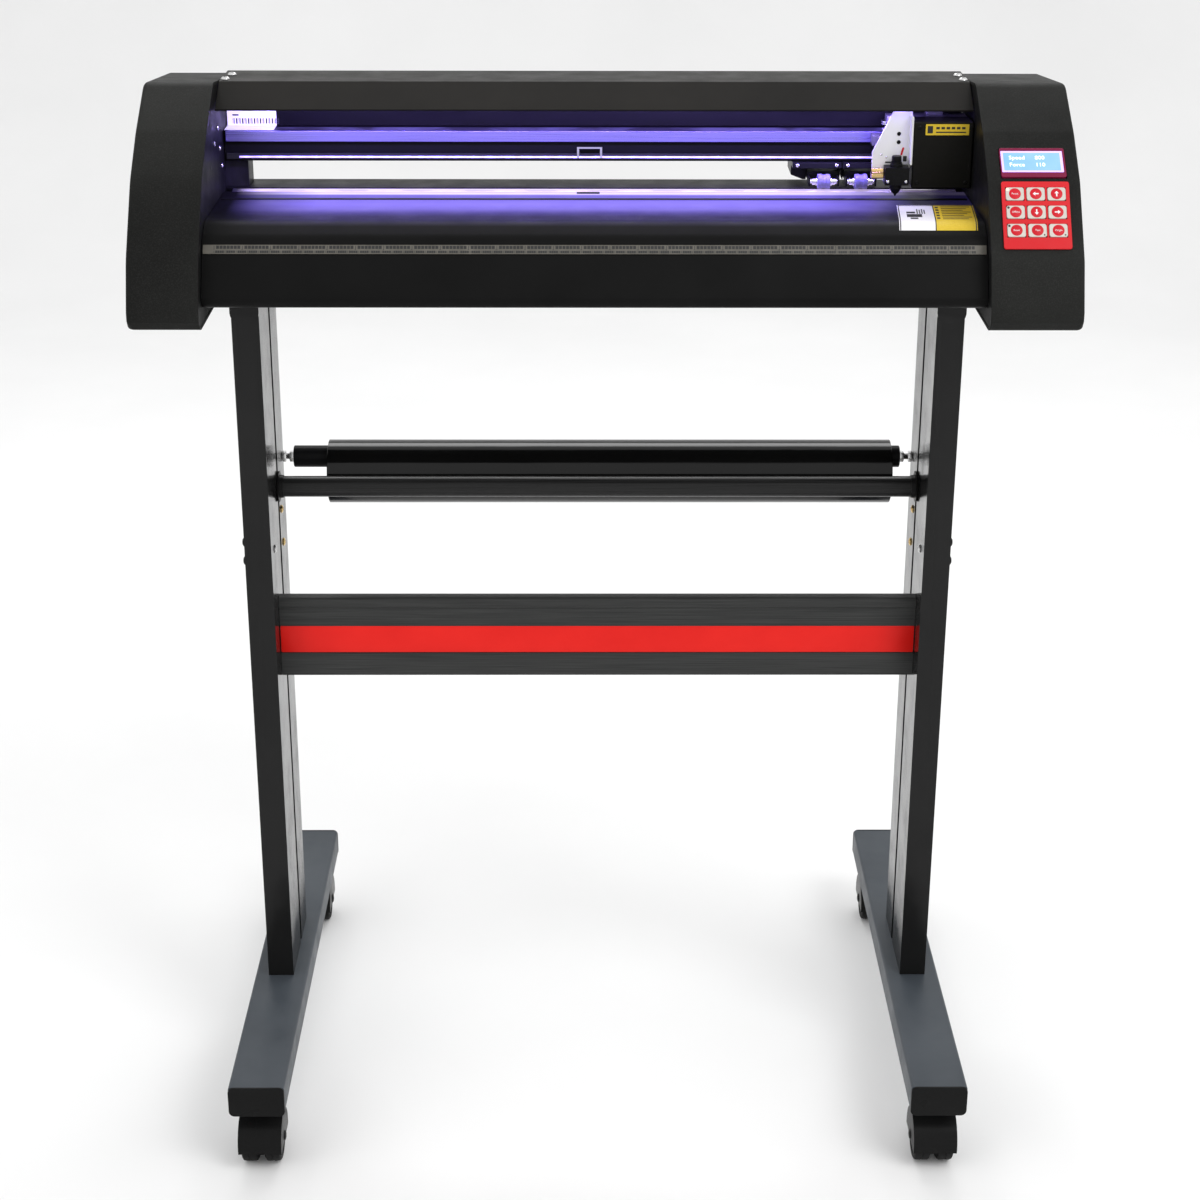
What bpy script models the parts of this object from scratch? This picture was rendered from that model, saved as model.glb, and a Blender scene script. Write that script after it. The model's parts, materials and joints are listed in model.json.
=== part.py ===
"""Roll-fed vinyl cutter on a floor stand with casters.

Metres, +Z up. The origin is on the floor under the middle of the whole object, and the
front, where an operator stands, faces -Y. Each object is one piece of the real machine.
"""

import math

import bmesh
import bpy
from mathutils import Matrix, Vector

# ---------------------------------------------------------------- driving dimensions
GAP = 0.0003  # clearance between pieces that touch
STAND_X = -0.006  # middle of the stand: the control side of the machine is wider

# Stand
LEG_INNER, LEG_OUTER = 0.321, 0.3474  # leg faces, measured from the middle of the stand
LEG_FRONT, LEG_REAR = -0.059, 0.064
LEG_MID = (LEG_INNER + LEG_OUTER) / 2
LEG_WALL, FOOT_WALL = 0.003, 0.003
SLOT_Y = 0.012  # middle of the groove down each leg's inner face
FOOT_WIDTH, FOOT_LENGTH = 0.055, 0.540
FOOT_BOTTOM, FOOT_TOP = 0.068, 0.100
BEAM_LOW, BEAM_HIGH = 0.4326, 0.5175  # crossbeam
BAR_Z, BAR_RADIUS = 0.6225, 0.0105
ROLLER_Y, ROLLER_Z, ROLLER_RADIUS = 0.056, 0.6397, 0.011
ROLL_RADIUS, ROLL_BORE = 0.032, 0.027
ROLL_LEFT, ROLL_RIGHT = -0.279, 0.292

# Casters
SWIVEL_Y, TRAIL = 0.229, 0.012
CASTER_WHEEL_RADIUS = 0.025

# Machine
BED_LEFT, BED_RIGHT = -0.363, 0.344  # inner edges of the end covers
SIDE = 0.428  # outer faces of the end covers
COVER_WALL = 0.003
PLATE_SETBACK, PLATE_THICK = 0.0005, 0.002
UNDERSIDE, PLATEN = 0.852, 0.922
BASE_WALL = 0.003
GRIT_Y, GRIT_RADIUS = 0.016, 0.010
GRIT_Z = PLATEN + 0.0005 - GRIT_RADIUS
RAIL_FRONT, RAIL_LOW, RAIL_HIGH = 0.024, 0.948, 0.977
BEAM_FOOT = 0.022  # how far each foot under the beam reaches in from its side frame
TOP_HEIGHT = 1.026

# Carriage and its drive
PLATE_LEFT, CARRIAGE_RIGHT = 0.2514, 0.3437
BELT_Y, BELT_Z, DRIVE_RADIUS = 0.036, 1.004, 0.0075
MOTOR_SHELF, IDLER_SHELF = 0.9575, 0.9925  # upper faces of the shelves on the side frames
SHELF_THICK = 0.003
DRIVE_X, IDLER_X = 0.385, -0.395
TOOL_X, TOOL_Y = 0.2735, -0.026
CLAMP_Z = 0.9465

# Media feed
FEED_MOTOR_Y, FEED_MOTOR_Z = -0.060, 0.885
FEED_DRIVE_RADIUS, FEED_DRIVEN_RADIUS = 0.008, 0.024
FEED_BELT_X = -0.377
PINCH_X = (0.210, 0.2455)
PINCH_EDGES = ((0.180, 0.2274), (0.2281, 0.264))
AXLE_HALF, ARM_INNER, ARM_HALF = 0.0128, 0.0131, 0.0148  # half widths about the wheel
CHEEK_INNER = 0.0151
PINCH_RADIUS = 0.0073
PINCH_Z = PLATEN + 0.0005 + GAP + PINCH_RADIUS
PIVOT_Y, PIVOT_Z = 0.062, 0.934

# Control panel
PANEL_X = 0.386
KEY_WIDTH, KEY_HEIGHT, KEY_TRAVEL = 0.0164, 0.0126, 0.0008
KEY_PITCH_X, KEY_PITCH_Y = 0.01875, 0.0177
KEY_NAMES = (
    ("pause_button", "left_button", "up_button"),
    ("offline_button", "down_button", "right_button"),
    ("reset_button", "test_button", "origin_button"),
)


# ---------------------------------------------------------------- materials
def material(name, colour, roughness, metallic=0.0):
    """A plain Principled material, made once for each name."""
    made = bpy.data.materials.get(name)
    if made is None:
        made = bpy.data.materials.new(name)
        made.use_nodes = True
        shader = made.node_tree.nodes["Principled BSDF"]
        shader.inputs["Base Color"].default_value = (*colour, 1.0)
        shader.inputs["Roughness"].default_value = roughness
        shader.inputs["Metallic"].default_value = metallic
    return made


BLACK_COAT = ("black_coat", (0.018, 0.018, 0.019), 0.45)
COVER_PLASTIC = ("cover_plastic", (0.030, 0.030, 0.030), 0.60)
SLATE_COAT = ("slate_coat", (0.085, 0.095, 0.105), 0.40)
BLACK_PLASTIC = ("black_plastic", (0.012, 0.012, 0.013), 0.45)
BARE_METAL = ("bare_metal", (0.62, 0.62, 0.64), 0.30, 1.0)
DARK_TUBE = ("dark_tube", (0.050, 0.052, 0.055), 0.35, 0.6)
GLOSS_VINYL = ("gloss_vinyl", (0.008, 0.008, 0.009), 0.08)
RUBBER = ("rubber", (0.020, 0.020, 0.020), 0.80)
BRASS = ("brass", (0.72, 0.50, 0.20), 0.30, 1.0)
RULER_PRINT = ("ruler_print", (0.42, 0.40, 0.35), 0.50)
LIGHT_STRIP = ("light_strip", (0.55, 0.50, 1.00), 0.30)
RED_PANEL = ("red_panel", (0.75, 0.015, 0.015), 0.40)
KEY_PLASTIC = ("key_plastic", (0.72, 0.68, 0.62), 0.45)
SCREEN = ("screen", (0.45, 0.75, 0.95), 0.20)
BOARD_GREEN = ("board_green", (0.02, 0.16, 0.06), 0.50)


# ---------------------------------------------------------------- outlines
def rounded(corners, radii, steps=4):
    """An outline of the corner points, each corner turned into an arc of its radius."""
    outline = []
    for i, corner in enumerate(corners):
        here = Vector(corner)
        back = (Vector(corners[i - 1]) - here).normalized()
        ahead = (Vector(corners[(i + 1) % len(corners)]) - here).normalized()
        if not radii[i]:
            outline.append(tuple(here))
            continue
        half = back.angle(ahead) / 2
        reach = radii[i] / math.tan(half)
        centre = here + (back + ahead).normalized() * radii[i] / math.sin(half)
        first = here + back * reach - centre
        last = here + ahead * reach - centre
        turn = math.atan2(first.x * last.y - first.y * last.x, first.dot(last))
        for step in range(steps + 1):
            spoke = first.copy()
            spoke.rotate(Matrix.Rotation(turn * step / steps, 2))
            outline.append(tuple(centre + spoke))
    return outline


def inset(outline, distance):
    """The outline moved inwards by the distance, for one that runs anticlockwise."""
    moved = []
    for i, point in enumerate(outline):
        here = Vector(point)
        back = (here - Vector(outline[i - 1])).normalized()
        ahead = (Vector(outline[(i + 1) % len(outline)]) - here).normalized()
        left = Vector((-back.y, back.x)) + Vector((-ahead.y, ahead.x))
        left.normalize()
        moved.append(tuple(here + left * distance / left.dot(Vector((-back.y, back.x)))))
    return moved


def sheet(path, thickness):
    """The section of a bent sheet: the path, and the same path moved to its right."""
    far = []
    for i, point in enumerate(path):
        here = Vector(point)
        back = (here - Vector(path[i - 1])).normalized() if i else None
        ahead = (Vector(path[i + 1]) - here).normalized() if i + 1 < len(path) else back
        back = back or ahead
        right = Vector((back.y, -back.x)) + Vector((ahead.y, -ahead.x))
        right.normalize()
        far.append(tuple(here + right * thickness / right.dot(Vector((back.y, -back.x)))))
    return list(path) + far[::-1]


def circle(centre, radius, count=20):
    turns = (2 * math.pi * i / count for i in range(count))
    return [(centre[0] + radius * math.cos(t), centre[1] + radius * math.sin(t)) for t in turns]


def belt_loop(one, radius_one, two, radius_two, arc_steps=10):
    """The outline that a belt takes round two pulleys, its facets clear of both radii."""
    apart = Vector(two) - Vector(one)
    heading = math.atan2(apart.y, apart.x)
    lean = math.acos((radius_one - radius_two) / apart.length)
    outline = []
    for centre, radius, start, sweep in (
        (one, radius_one, heading + lean, 2 * math.pi - 2 * lean),
        (two, radius_two, heading - lean, 2 * lean),
    ):
        reach = radius / math.cos(sweep / arc_steps / 2)
        for step in range(arc_steps + 1):
            turn = start + sweep * step / arc_steps
            outline.append((centre[0] + reach * math.cos(turn), centre[1] + reach * math.sin(turn)))
    return outline


# ---------------------------------------------------------------- solids
def placed(axis, point, along):
    """The 3-D point of a section's 2-D point, at a distance along the section's axis."""
    if axis == "X":
        return Vector((along, point[0], point[1]))
    if axis == "Y":
        return Vector((point[0], along, point[1]))
    return Vector((point[0], point[1], along))


def prism(outline, axis, low, high):
    """A closed solid with the outline as its section, from low to high along the axis."""
    solid = bmesh.new()
    ends = [[solid.verts.new(placed(axis, p, at)) for p in outline] for at in (low, high)]
    solid.faces.new(ends[0])
    solid.faces.new(ends[1][::-1])
    for i in range(len(outline)):
        j = (i + 1) % len(outline)
        solid.faces.new((ends[0][j], ends[0][i], ends[1][i], ends[1][j]))
    bmesh.ops.recalc_face_normals(solid, faces=solid.faces)
    return solid


def ring_prism(outer, inner, axis, low, high):
    """A closed loop of material between two outlines with the same number of points."""
    solid = bmesh.new()
    loops = [
        [solid.verts.new(placed(axis, p, at)) for p in outline]
        for outline, at in ((outer, low), (outer, high), (inner, high), (inner, low))
    ]
    for one, two in zip(loops, loops[1:] + loops[:1]):
        for i in range(len(outer)):
            j = (i + 1) % len(outer)
            solid.faces.new((one[i], one[j], two[j], two[i]))
    bmesh.ops.recalc_face_normals(solid, faces=solid.faces)
    return solid


def block(low, high):
    """A box between two opposite corners."""
    corners = ((low[0], low[1]), (high[0], low[1]), (high[0], high[1]), (low[0], high[1]))
    return prism(corners, "Z", low[2], high[2])


def turned(profile, axis, centre, count=24, hollow=False):
    """A turned solid. The profile is (distance along the axis, radius) from end to end,
    and for a hollow piece it is the closed section of its wall."""
    solid = bmesh.new()
    rings = []
    for along, radius in profile:
        rings.append([solid.verts.new(placed(axis, p, along)) for p in circle(centre, radius, count)])
    pairs = list(zip(rings, rings[1:]))
    if hollow:
        pairs.append((rings[-1], rings[0]))
    else:
        solid.faces.new(rings[0])
        solid.faces.new(rings[-1][::-1])
    for one, two in pairs:
        for i in range(count):
            j = (i + 1) % count
            solid.faces.new((one[i], one[j], two[j], two[i]))
    bmesh.ops.recalc_face_normals(solid, faces=solid.faces)
    return solid


def piece(name, solid, finish, origin=(0.0, 0.0, 0.0), smooth=False, frame=None):
    """Makes the solid a named object whose origin is at the given point. A frame places a
    solid that was drawn about its own origin."""
    place = frame or Matrix.Translation(origin)
    if frame is None:
        bmesh.ops.translate(solid, verts=solid.verts, vec=-Vector(origin))
    mesh = bpy.data.meshes.new(name)
    solid.to_mesh(mesh)
    solid.free()
    if smooth:
        mesh.shade_smooth()
        mesh.set_sharp_from_angle(angle=math.radians(35))
    mesh.materials.append(material(*finish))
    made = bpy.data.objects.new(name, mesh)
    made.matrix_world = place
    bpy.context.scene.collection.objects.link(made)
    return made


def combine(target, solid, operation, frame=None):
    """Adds the solid to the target object, or cuts it away, with a Boolean modifier."""
    helper = piece(f"{target.name}_helper_{len(target.modifiers)}", solid, BARE_METAL, frame=frame)
    helper.hide_render = True
    helper.display_type = "WIRE"
    helper.parent = target
    helper.matrix_parent_inverse = Matrix.LocRotScale(*target.matrix_world.decompose()).inverted()
    change = target.modifiers.new(f"{operation.lower()}_{len(target.modifiers)}", "BOOLEAN")
    change.operation = operation
    change.object = helper
    change.solver = "EXACT"


def add(target, solid, frame=None):
    combine(target, solid, "UNION", frame)


def cut(target, solid, frame=None):
    combine(target, solid, "DIFFERENCE", frame)


# ---------------------------------------------------------------- outline of the end covers
COVER_CORNERS = (
    (-0.192, 0.835),  # front foot of the cover
    (0.121, 0.835),
    (0.121, 1.016),
    (-0.022, 1.030),  # brow, where the top meets the sloping front
    (-0.078, 0.9955),
    (-0.121, 0.9605),
    (-0.168, 0.898),
)
SCREEN_TOP, SCREEN_FOOT, KEYPAD_FOOT = COVER_CORNERS[4], COVER_CORNERS[5], COVER_CORNERS[6]


def cover_outline(knee):
    return rounded(COVER_CORNERS, (0.014, 0.012, 0.014, 0.018, knee, knee, knee), 3)


def facet_frame(upper, lower, down):
    """A frame on the sloping front, a distance down it from its upper edge: local X is to
    the operator's right, local Y up the slope and local Z out of the panel."""
    up = (Vector(upper) - Vector(lower)).normalized()
    centre = Vector(upper) - up * down
    rotation = Matrix(((1, 0, 0), (0, up.x, -up.y), (0, up.y, up.x)))
    return Matrix.LocRotScale(Vector((PANEL_X, centre.x, centre.y)), rotation, None)


# ---------------------------------------------------------------- stand
def leg_section(side):
    """An upright with a shallow groove down its inner face. Side is -1 on the left, 1 on
    the right."""
    inner = STAND_X + side * LEG_INNER
    outer = STAND_X + side * LEG_OUTER
    half, floor = 0.005, inner + side * 0.002
    return (
        (outer, LEG_FRONT),
        (inner, LEG_FRONT),
        (inner, SLOT_Y - half),
        (floor, SLOT_Y - half),
        (floor, SLOT_Y + half),
        (inner, SLOT_Y + half),
        (inner, LEG_REAR),
        (outer, LEG_REAR),
    )


def make_legs_and_feet():
    for side, word in ((-1, "left"), (1, "right")):
        leg = piece(f"leg_{word}", prism(leg_section(side), "Z", FOOT_TOP, UNDERSIDE - GAP), BLACK_COAT)
        middle = STAND_X + side * LEG_MID
        half = (LEG_OUTER - LEG_INNER) / 2 + 0.0006
        bracket = rounded(
            (
                (middle - half, 0.812),
                (middle + half, 0.812),
                (middle + half, 0.848),
                (middle - half, 0.848),
            ),
            (0.009, 0.009, 0, 0),
        )
        add(leg, prism(bracket, "Y", LEG_FRONT - 0.004, LEG_FRONT + 0.002))
        walls = sorted((STAND_X + side * (LEG_INNER + 0.005), STAND_X + side * (LEG_OUTER - LEG_WALL)))
        bore = block(
            (walls[0], LEG_FRONT + LEG_WALL, FOOT_TOP - 0.01),
            (walls[1], LEG_REAR - LEG_WALL, UNDERSIDE + 0.01),
        )
        cut(leg, bore)
        half = FOOT_WIDTH / 2
        section = rounded(
            (
                (middle - half + 0.005, FOOT_BOTTOM),
                (middle + half - 0.005, FOOT_BOTTOM),
                (middle + half, FOOT_BOTTOM + 0.005),
                (middle + half, FOOT_TOP - GAP),
                (middle - half, FOOT_TOP - GAP),
                (middle - half, FOOT_BOTTOM + 0.005),
            ),
            (0, 0, 0, 0.003, 0.003, 0),
        )
        foot = prism(section, "Y", -FOOT_LENGTH / 2, FOOT_LENGTH / 2)
        foot = piece(f"foot_{word}", foot, SLATE_COAT)
        bore = block(
            (middle - half + FOOT_WALL, -FOOT_LENGTH, FOOT_BOTTOM + FOOT_WALL),
            (middle + half - FOOT_WALL, FOOT_LENGTH, FOOT_TOP - GAP - FOOT_WALL),
        )
        cut(foot, bore)


def make_crossbeam():
    front, rear = -0.029, -0.012
    stripe_low, stripe_high, recess = 0.458, 0.488, 0.0015
    section = rounded(
        (
            (rear, BEAM_LOW),
            (rear, BEAM_HIGH),
            (front, BEAM_HIGH),
            (front, BEAM_HIGH - 0.010),
            (front + recess, BEAM_HIGH - 0.011),
            (front + recess, stripe_high + 0.0015),
            (front, stripe_high),
            (front + recess, stripe_high - 0.0015),
            (front + recess, stripe_low),
            (front, stripe_low),
            (front, BEAM_LOW),
        ),
        (0, 0.004, 0.004, 0.002, 0, 0, 0, 0, 0, 0, 0.003),
        3,
    )
    beam = prism(section, "X", STAND_X - LEG_INNER + GAP, STAND_X + LEG_INNER - GAP)
    piece("crossbeam", beam, COVER_PLASTIC)


def make_media_support():
    left, right = STAND_X - LEG_INNER + GAP, STAND_X + LEG_INNER - GAP
    bar = turned(((left, BAR_RADIUS), (right, BAR_RADIUS)), "X", (SLOT_Y, BAR_Z), 24)
    piece("support_bar", bar, BLACK_COAT, smooth=True)
    pin, tube_left, tube_right = 0.004, left + 0.0122, right - 0.0132
    profile = (
        (left, pin),
        (tube_left, pin),
        (tube_left, ROLLER_RADIUS),
        (tube_right, ROLLER_RADIUS),
        (tube_right, pin),
        (right, pin),
    )
    axle = (ROLLER_Y, ROLLER_Z)
    tube = turned(profile, "X", axle, 24)
    piece("media_roller", tube, DARK_TUBE, origin=(STAND_X, *axle), smooth=True)
    hang = (ROLLER_Y, ROLLER_Z + ROLLER_RADIUS + GAP - ROLL_BORE)
    wall = (
        (ROLL_LEFT, ROLL_BORE),
        (ROLL_LEFT, ROLL_RADIUS),
        (ROLL_RIGHT, ROLL_RADIUS),
        (ROLL_RIGHT, ROLL_BORE),
    )
    roll = turned(wall, "X", hang, 36, hollow=True)
    piece("vinyl_roll", roll, GLOSS_VINYL, origin=(STAND_X, *hang), smooth=True)


def make_caster(name, x, y, trail):
    """A hooded twin-wheel caster: the hood swivels on its stem, the wheels turn in the hood."""
    axle = (y + trail, CASTER_WHEEL_RADIUS)
    hood_radius, half_width, web = 0.0280, 0.0215, 0.0030
    hood = piece(
        f"{name}_hood",
        turned(((x - half_width, hood_radius), (x + half_width, hood_radius)), "X", axle, 28),
        BLACK_PLASTIC,
        origin=(x, y, 0.0),
        smooth=True,
    )
    stem = turned(((0.044, 0.011), (FOOT_BOTTOM - GAP, 0.011)), "Z", (x, y), 20)
    add(hood, stem)
    for side in (-1, 1):
        ends = sorted((x + side * web, x + side * (half_width - 0.0015)))
        cut(hood, turned(((ends[0], 0.0262), (ends[1], 0.0262)), "X", axle, 28))
    low, rim = axle[1] - 0.004, 0.04
    cut(hood, block((x - rim, axle[0] - rim, -0.02), (x + rim, axle[0] + rim, low)))
    cut(hood, turned(((x - web - 0.001, 0.0043), (x + web + 0.001, 0.0043)), "X", axle, 16))
    tread_in, tread_out = web + 0.0006, half_width - 0.0022
    profile = (
        (x - tread_out, CASTER_WHEEL_RADIUS - 0.0015),
        (x - tread_out + 0.002, CASTER_WHEEL_RADIUS),
        (x - tread_in, CASTER_WHEEL_RADIUS),
        (x - tread_in, 0.004),
        (x + tread_in, 0.004),
        (x + tread_in, CASTER_WHEEL_RADIUS),
        (x + tread_out - 0.002, CASTER_WHEEL_RADIUS),
        (x + tread_out, CASTER_WHEEL_RADIUS - 0.0015),
    )
    wheels = turned(profile, "X", axle, 28)
    piece(f"{name}_wheels", wheels, RUBBER, origin=(x, *axle), smooth=True)


def make_casters():
    for side, side_word in ((-1, "left"), (1, "right")):
        for end, end_word in ((-1, "front"), (1, "rear")):
            x, y = STAND_X + side * LEG_MID, end * SWIVEL_Y
            make_caster(f"caster_{end_word}_{side_word}", x, y, end * TRAIL)


# ---------------------------------------------------------------- machine body
def base_section():
    """A hollow bed: platen on top, curved apron in front, and a slot for the grit roller."""
    slot_half = 0.0085
    corners = (
        (-0.170, UNDERSIDE),
        (0.085, UNDERSIDE),
        (0.085, 0.905),
        (0.068, PLATEN),
        (-0.118, PLATEN),
        (-0.138, 0.9115),
        (-0.1485, 0.894),
    )
    radii = (0.008, 0.006, 0.012, 0.012, 0.030, 0.020, 0.020)
    outer = rounded(corners, radii)
    inner = inset(outer, BASE_WALL)
    count = 5 * 4  # points on the four corners before the platen's front edge
    slot_rear, slot_front = GRIT_Y + slot_half, GRIT_Y - slot_half
    way_out = outer[:count] + [(slot_rear, PLATEN), (slot_rear, PLATEN - BASE_WALL)] + inner[:count][::-1]
    front_lip = [(slot_front, PLATEN - BASE_WALL), (slot_front, PLATEN)]
    way_back = inner[count:][::-1] + front_lip + outer[count:]
    return way_out + way_back


def make_bed():
    left, right = BED_LEFT - GAP + PLATE_SETBACK, BED_RIGHT + GAP - PLATE_SETBACK
    bed = prism(base_section(), "X", left, right)
    piece("base_extrusion", bed, BLACK_COAT)
    upper, lower = Vector((-0.138, 0.9115)), Vector((-0.1485, 0.894))
    down = (lower - upper).normalized()
    out = Vector((down.y, -down.x))
    middle = (upper + lower) / 2 + out * GAP + down * 0.0012
    half, thick = 0.0042, 0.0008
    strip = [middle - down * half, middle + down * half]
    strip += [p + out * thick for p in strip[::-1]]
    piece("ruler_strip", prism([tuple(p) for p in strip], "X", left + 0.001, right - 0.001), RULER_PRINT)


def make_rail():
    left, right = BED_LEFT - GAP + PLATE_SETBACK, BED_RIGHT + GAP - PLATE_SETBACK
    web_front, web_rear, web_top = 0.050, 0.058, TOP_HEIGHT - 0.0025
    section = (
        (RAIL_FRONT, RAIL_LOW),
        (0.064, RAIL_LOW),
        (0.064, RAIL_HIGH),
        (web_rear, RAIL_HIGH),
        (web_rear, web_top),
        (web_front, web_top),
        (web_front, RAIL_HIGH),
        (RAIL_FRONT, RAIL_HIGH),
    )
    piece("rail_beam", prism(section, "X", left, right), BLACK_COAT)
    back = RAIL_FRONT - GAP
    rail = block((left + 0.002, back - 0.0032, 0.967), (right - 0.002, back, RAIL_HIGH))
    piece("guide_rail", rail, BARE_METAL)
    strip = block((left + 0.002, back - 0.0022, 0.950), (right - 0.002, back, 0.9555))
    piece("led_strip", strip, LIGHT_STRIP)
    path = ((-0.024, 1.0054), (0.009, TOP_HEIGHT), (0.070, TOP_HEIGHT), (0.070, 1.001))
    piece("top_cover", prism(sheet(path, 0.002), "X", left, right), BLACK_COAT)


def make_end_covers():
    left = cover_outline(0.060)
    right = cover_outline(0.030)
    cover = piece("end_cover_left", prism(left, "X", -SIDE, BED_LEFT), COVER_PLASTIC)
    cut(cover, prism(inset(left, COVER_WALL), "X", -SIDE + COVER_WALL, BED_LEFT + 0.01))
    cover = piece("end_cover_right", prism(right, "X", BED_RIGHT, SIDE), COVER_PLASTIC)
    cut(cover, prism(inset(right, COVER_WALL), "X", BED_RIGHT - 0.01, SIDE - COVER_WALL))
    return cover


def make_end_plates():
    """Steel side frames: they close the covers' inner sides and carry the beam, the
    roller, the motors and the idler."""
    outline = inset(cover_outline(0.060), COVER_WALL + GAP)
    low = BED_LEFT - PLATE_SETBACK - PLATE_THICK
    plate = piece("end_plate_left", prism(outline, "X", low, low + PLATE_THICK), BLACK_COAT)
    shelf = block(
        (IDLER_X - 0.010, BELT_Y - 0.008, IDLER_SHELF - SHELF_THICK),
        (low + 0.001, BELT_Y + 0.008, IDLER_SHELF),
    )
    add(plate, shelf)
    add_beam_foot(plate, low + 0.001, low + PLATE_THICK + BEAM_FOOT)
    cut(plate, prism(circle((FEED_MOTOR_Y, FEED_MOTOR_Z), 0.0045, 16), "X", low - 0.01, low + 0.01))
    drill_plate(plate, low)
    outline = inset(cover_outline(0.030), COVER_WALL + GAP)
    low = BED_RIGHT + PLATE_SETBACK
    plate = piece("end_plate_right", prism(outline, "X", low, low + PLATE_THICK), BLACK_COAT)
    shelf = block(
        (low + 0.001, BELT_Y - 0.021, MOTOR_SHELF - SHELF_THICK),
        (DRIVE_X + 0.021, BELT_Y + 0.021, MOTOR_SHELF),
    )
    add(plate, shelf)
    add_beam_foot(plate, low - BEAM_FOOT, low + 0.001)
    drill_plate(plate, low)


def add_beam_foot(plate, left, right):
    """The block that the beam rests on at each end, just over the platen."""
    add(plate, block((left, 0.0280, PLATEN + GAP), (right, 0.060, RAIL_LOW - GAP)))


def drill_plate(plate, low):
    """The way through for the grit roller's journal and for the carriage belt."""
    cut(plate, prism(circle((GRIT_Y, GRIT_Z), 0.0043, 16), "X", low - 0.01, low + 0.01))
    window = block(
        (low - 0.01, BELT_Y - 0.012, BELT_Z - 0.006),
        (low + 0.01, BELT_Y + 0.012, BELT_Z + 0.006),
    )
    cut(plate, window)


# ---------------------------------------------------------------- media feed
def make_feed():
    half = 0.003
    axis = (GRIT_Y, GRIT_Z)
    journal, pulley = 0.004, FEED_DRIVEN_RADIUS
    profile = (
        (FEED_BELT_X - half - 0.004, journal),
        (FEED_BELT_X - half - 0.001, journal),
        (FEED_BELT_X - half - 0.001, pulley),
        (FEED_BELT_X + half + 0.001, pulley),
        (FEED_BELT_X + half + 0.001, journal),
        (-0.356, journal),
        (-0.356, GRIT_RADIUS),
        (0.337, GRIT_RADIUS),
        (0.337, journal),
        (0.352, journal),
    )
    roller = turned(profile, "X", axis, 28)
    piece("grit_roller", roller, BARE_METAL, origin=(0.0, *axis), smooth=True)
    motor_axis = (FEED_MOTOR_Y, FEED_MOTOR_Z)
    body = block(
        (BED_LEFT - PLATE_SETBACK + GAP, FEED_MOTOR_Y - 0.021, FEED_MOTOR_Z - 0.021),
        (-0.323, FEED_MOTOR_Y + 0.021, FEED_MOTOR_Z + 0.021),
    )
    piece("feed_motor", body, BLACK_COAT)
    profile = (
        (FEED_BELT_X - half - 0.001, FEED_DRIVE_RADIUS),
        (FEED_BELT_X + half + 0.001, FEED_DRIVE_RADIUS),
        (FEED_BELT_X + half + 0.001, 0.0025),
        (BED_LEFT - PLATE_SETBACK, 0.0025),
    )
    pulley = turned(profile, "X", motor_axis, 20)
    piece("feed_motor_pulley", pulley, BARE_METAL, origin=(FEED_BELT_X, *motor_axis), smooth=True)
    loops = [
        belt_loop(motor_axis, FEED_DRIVE_RADIUS + more, axis, FEED_DRIVEN_RADIUS + more)
        for more in (0.0016, 0.0004)
    ]
    belt = ring_prism(*loops, "X", FEED_BELT_X - half, FEED_BELT_X + half)
    piece("feed_belt", belt, RUBBER)


def make_pinch_unit(number, x, edges):
    """A housing that slides along the beam, a sprung arm that lifts, and its wheel."""
    name = f"pinch_{number}"
    roof_low, roof_high = 0.942, RAIL_LOW - GAP
    housing = piece(
        f"{name}_housing",
        block((edges[0], 0.0185, roof_low), (edges[1], 0.078, roof_high)),
        BLACK_PLASTIC,
        origin=(x, 0.0, roof_low),
    )
    add(housing, block((edges[0], 0.0645, roof_low + 0.002), (edges[1], 0.078, 0.970)))
    foot, skirt = 0.928, roof_low + 0.002
    left_cheek = (
        (edges[0], skirt),
        (edges[0], 0.9325),
        (min(edges[0] + 0.0115, x - CHEEK_INNER - 0.001), foot),
        (x - CHEEK_INNER, foot),
        (x - CHEEK_INNER, skirt),
    )
    add(housing, prism(left_cheek, "Y", 0.036, 0.074))
    add(housing, block((x + CHEEK_INNER, 0.036, foot), (edges[1], 0.074, skirt)))
    arm = piece(
        f"{name}_arm",
        turned(((x - ARM_HALF, 0.004), (x + ARM_HALF, 0.004)), "X", (PIVOT_Y, PIVOT_Z), 16),
        BLACK_PLASTIC,
        origin=(x, PIVOT_Y, PIVOT_Z),
    )
    add(arm, block((x - ARM_HALF, 0.028, 0.930), (x + ARM_HALF, PIVOT_Y, 0.9375)))
    for side in (-1, 1):
        ends = sorted((x + side * ARM_INNER, x + side * ARM_HALF))
        add(arm, block((ends[0], 0.012, 0.9262), (ends[1], 0.030, 0.9345)))
    lever = rounded(
        (
            (PIVOT_Y, 0.931),
            (0.106, 0.931),
            (0.114, 0.938),
            (0.112, 0.941),
            (0.104, 0.936),
            (PIVOT_Y, 0.937),
        ),
        (0, 0.003, 0, 0, 0.002, 0),
        2,
    )
    add(arm, prism(lever, "X", x - 0.0065, x + 0.0065))
    profile = (
        (x - AXLE_HALF, 0.002),
        (x - 0.0062, 0.002),
        (x - 0.0062, PINCH_RADIUS - 0.0006),
        (x - 0.0056, PINCH_RADIUS),
        (x + 0.0056, PINCH_RADIUS),
        (x + 0.0062, PINCH_RADIUS - 0.0006),
        (x + 0.0062, 0.002),
        (x + AXLE_HALF, 0.002),
    )
    wheel = turned(profile, "X", (GRIT_Y, PINCH_Z), 24)
    piece(f"{name}_wheel", wheel, RUBBER, origin=(x, GRIT_Y, PINCH_Z), smooth=True)


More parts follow.
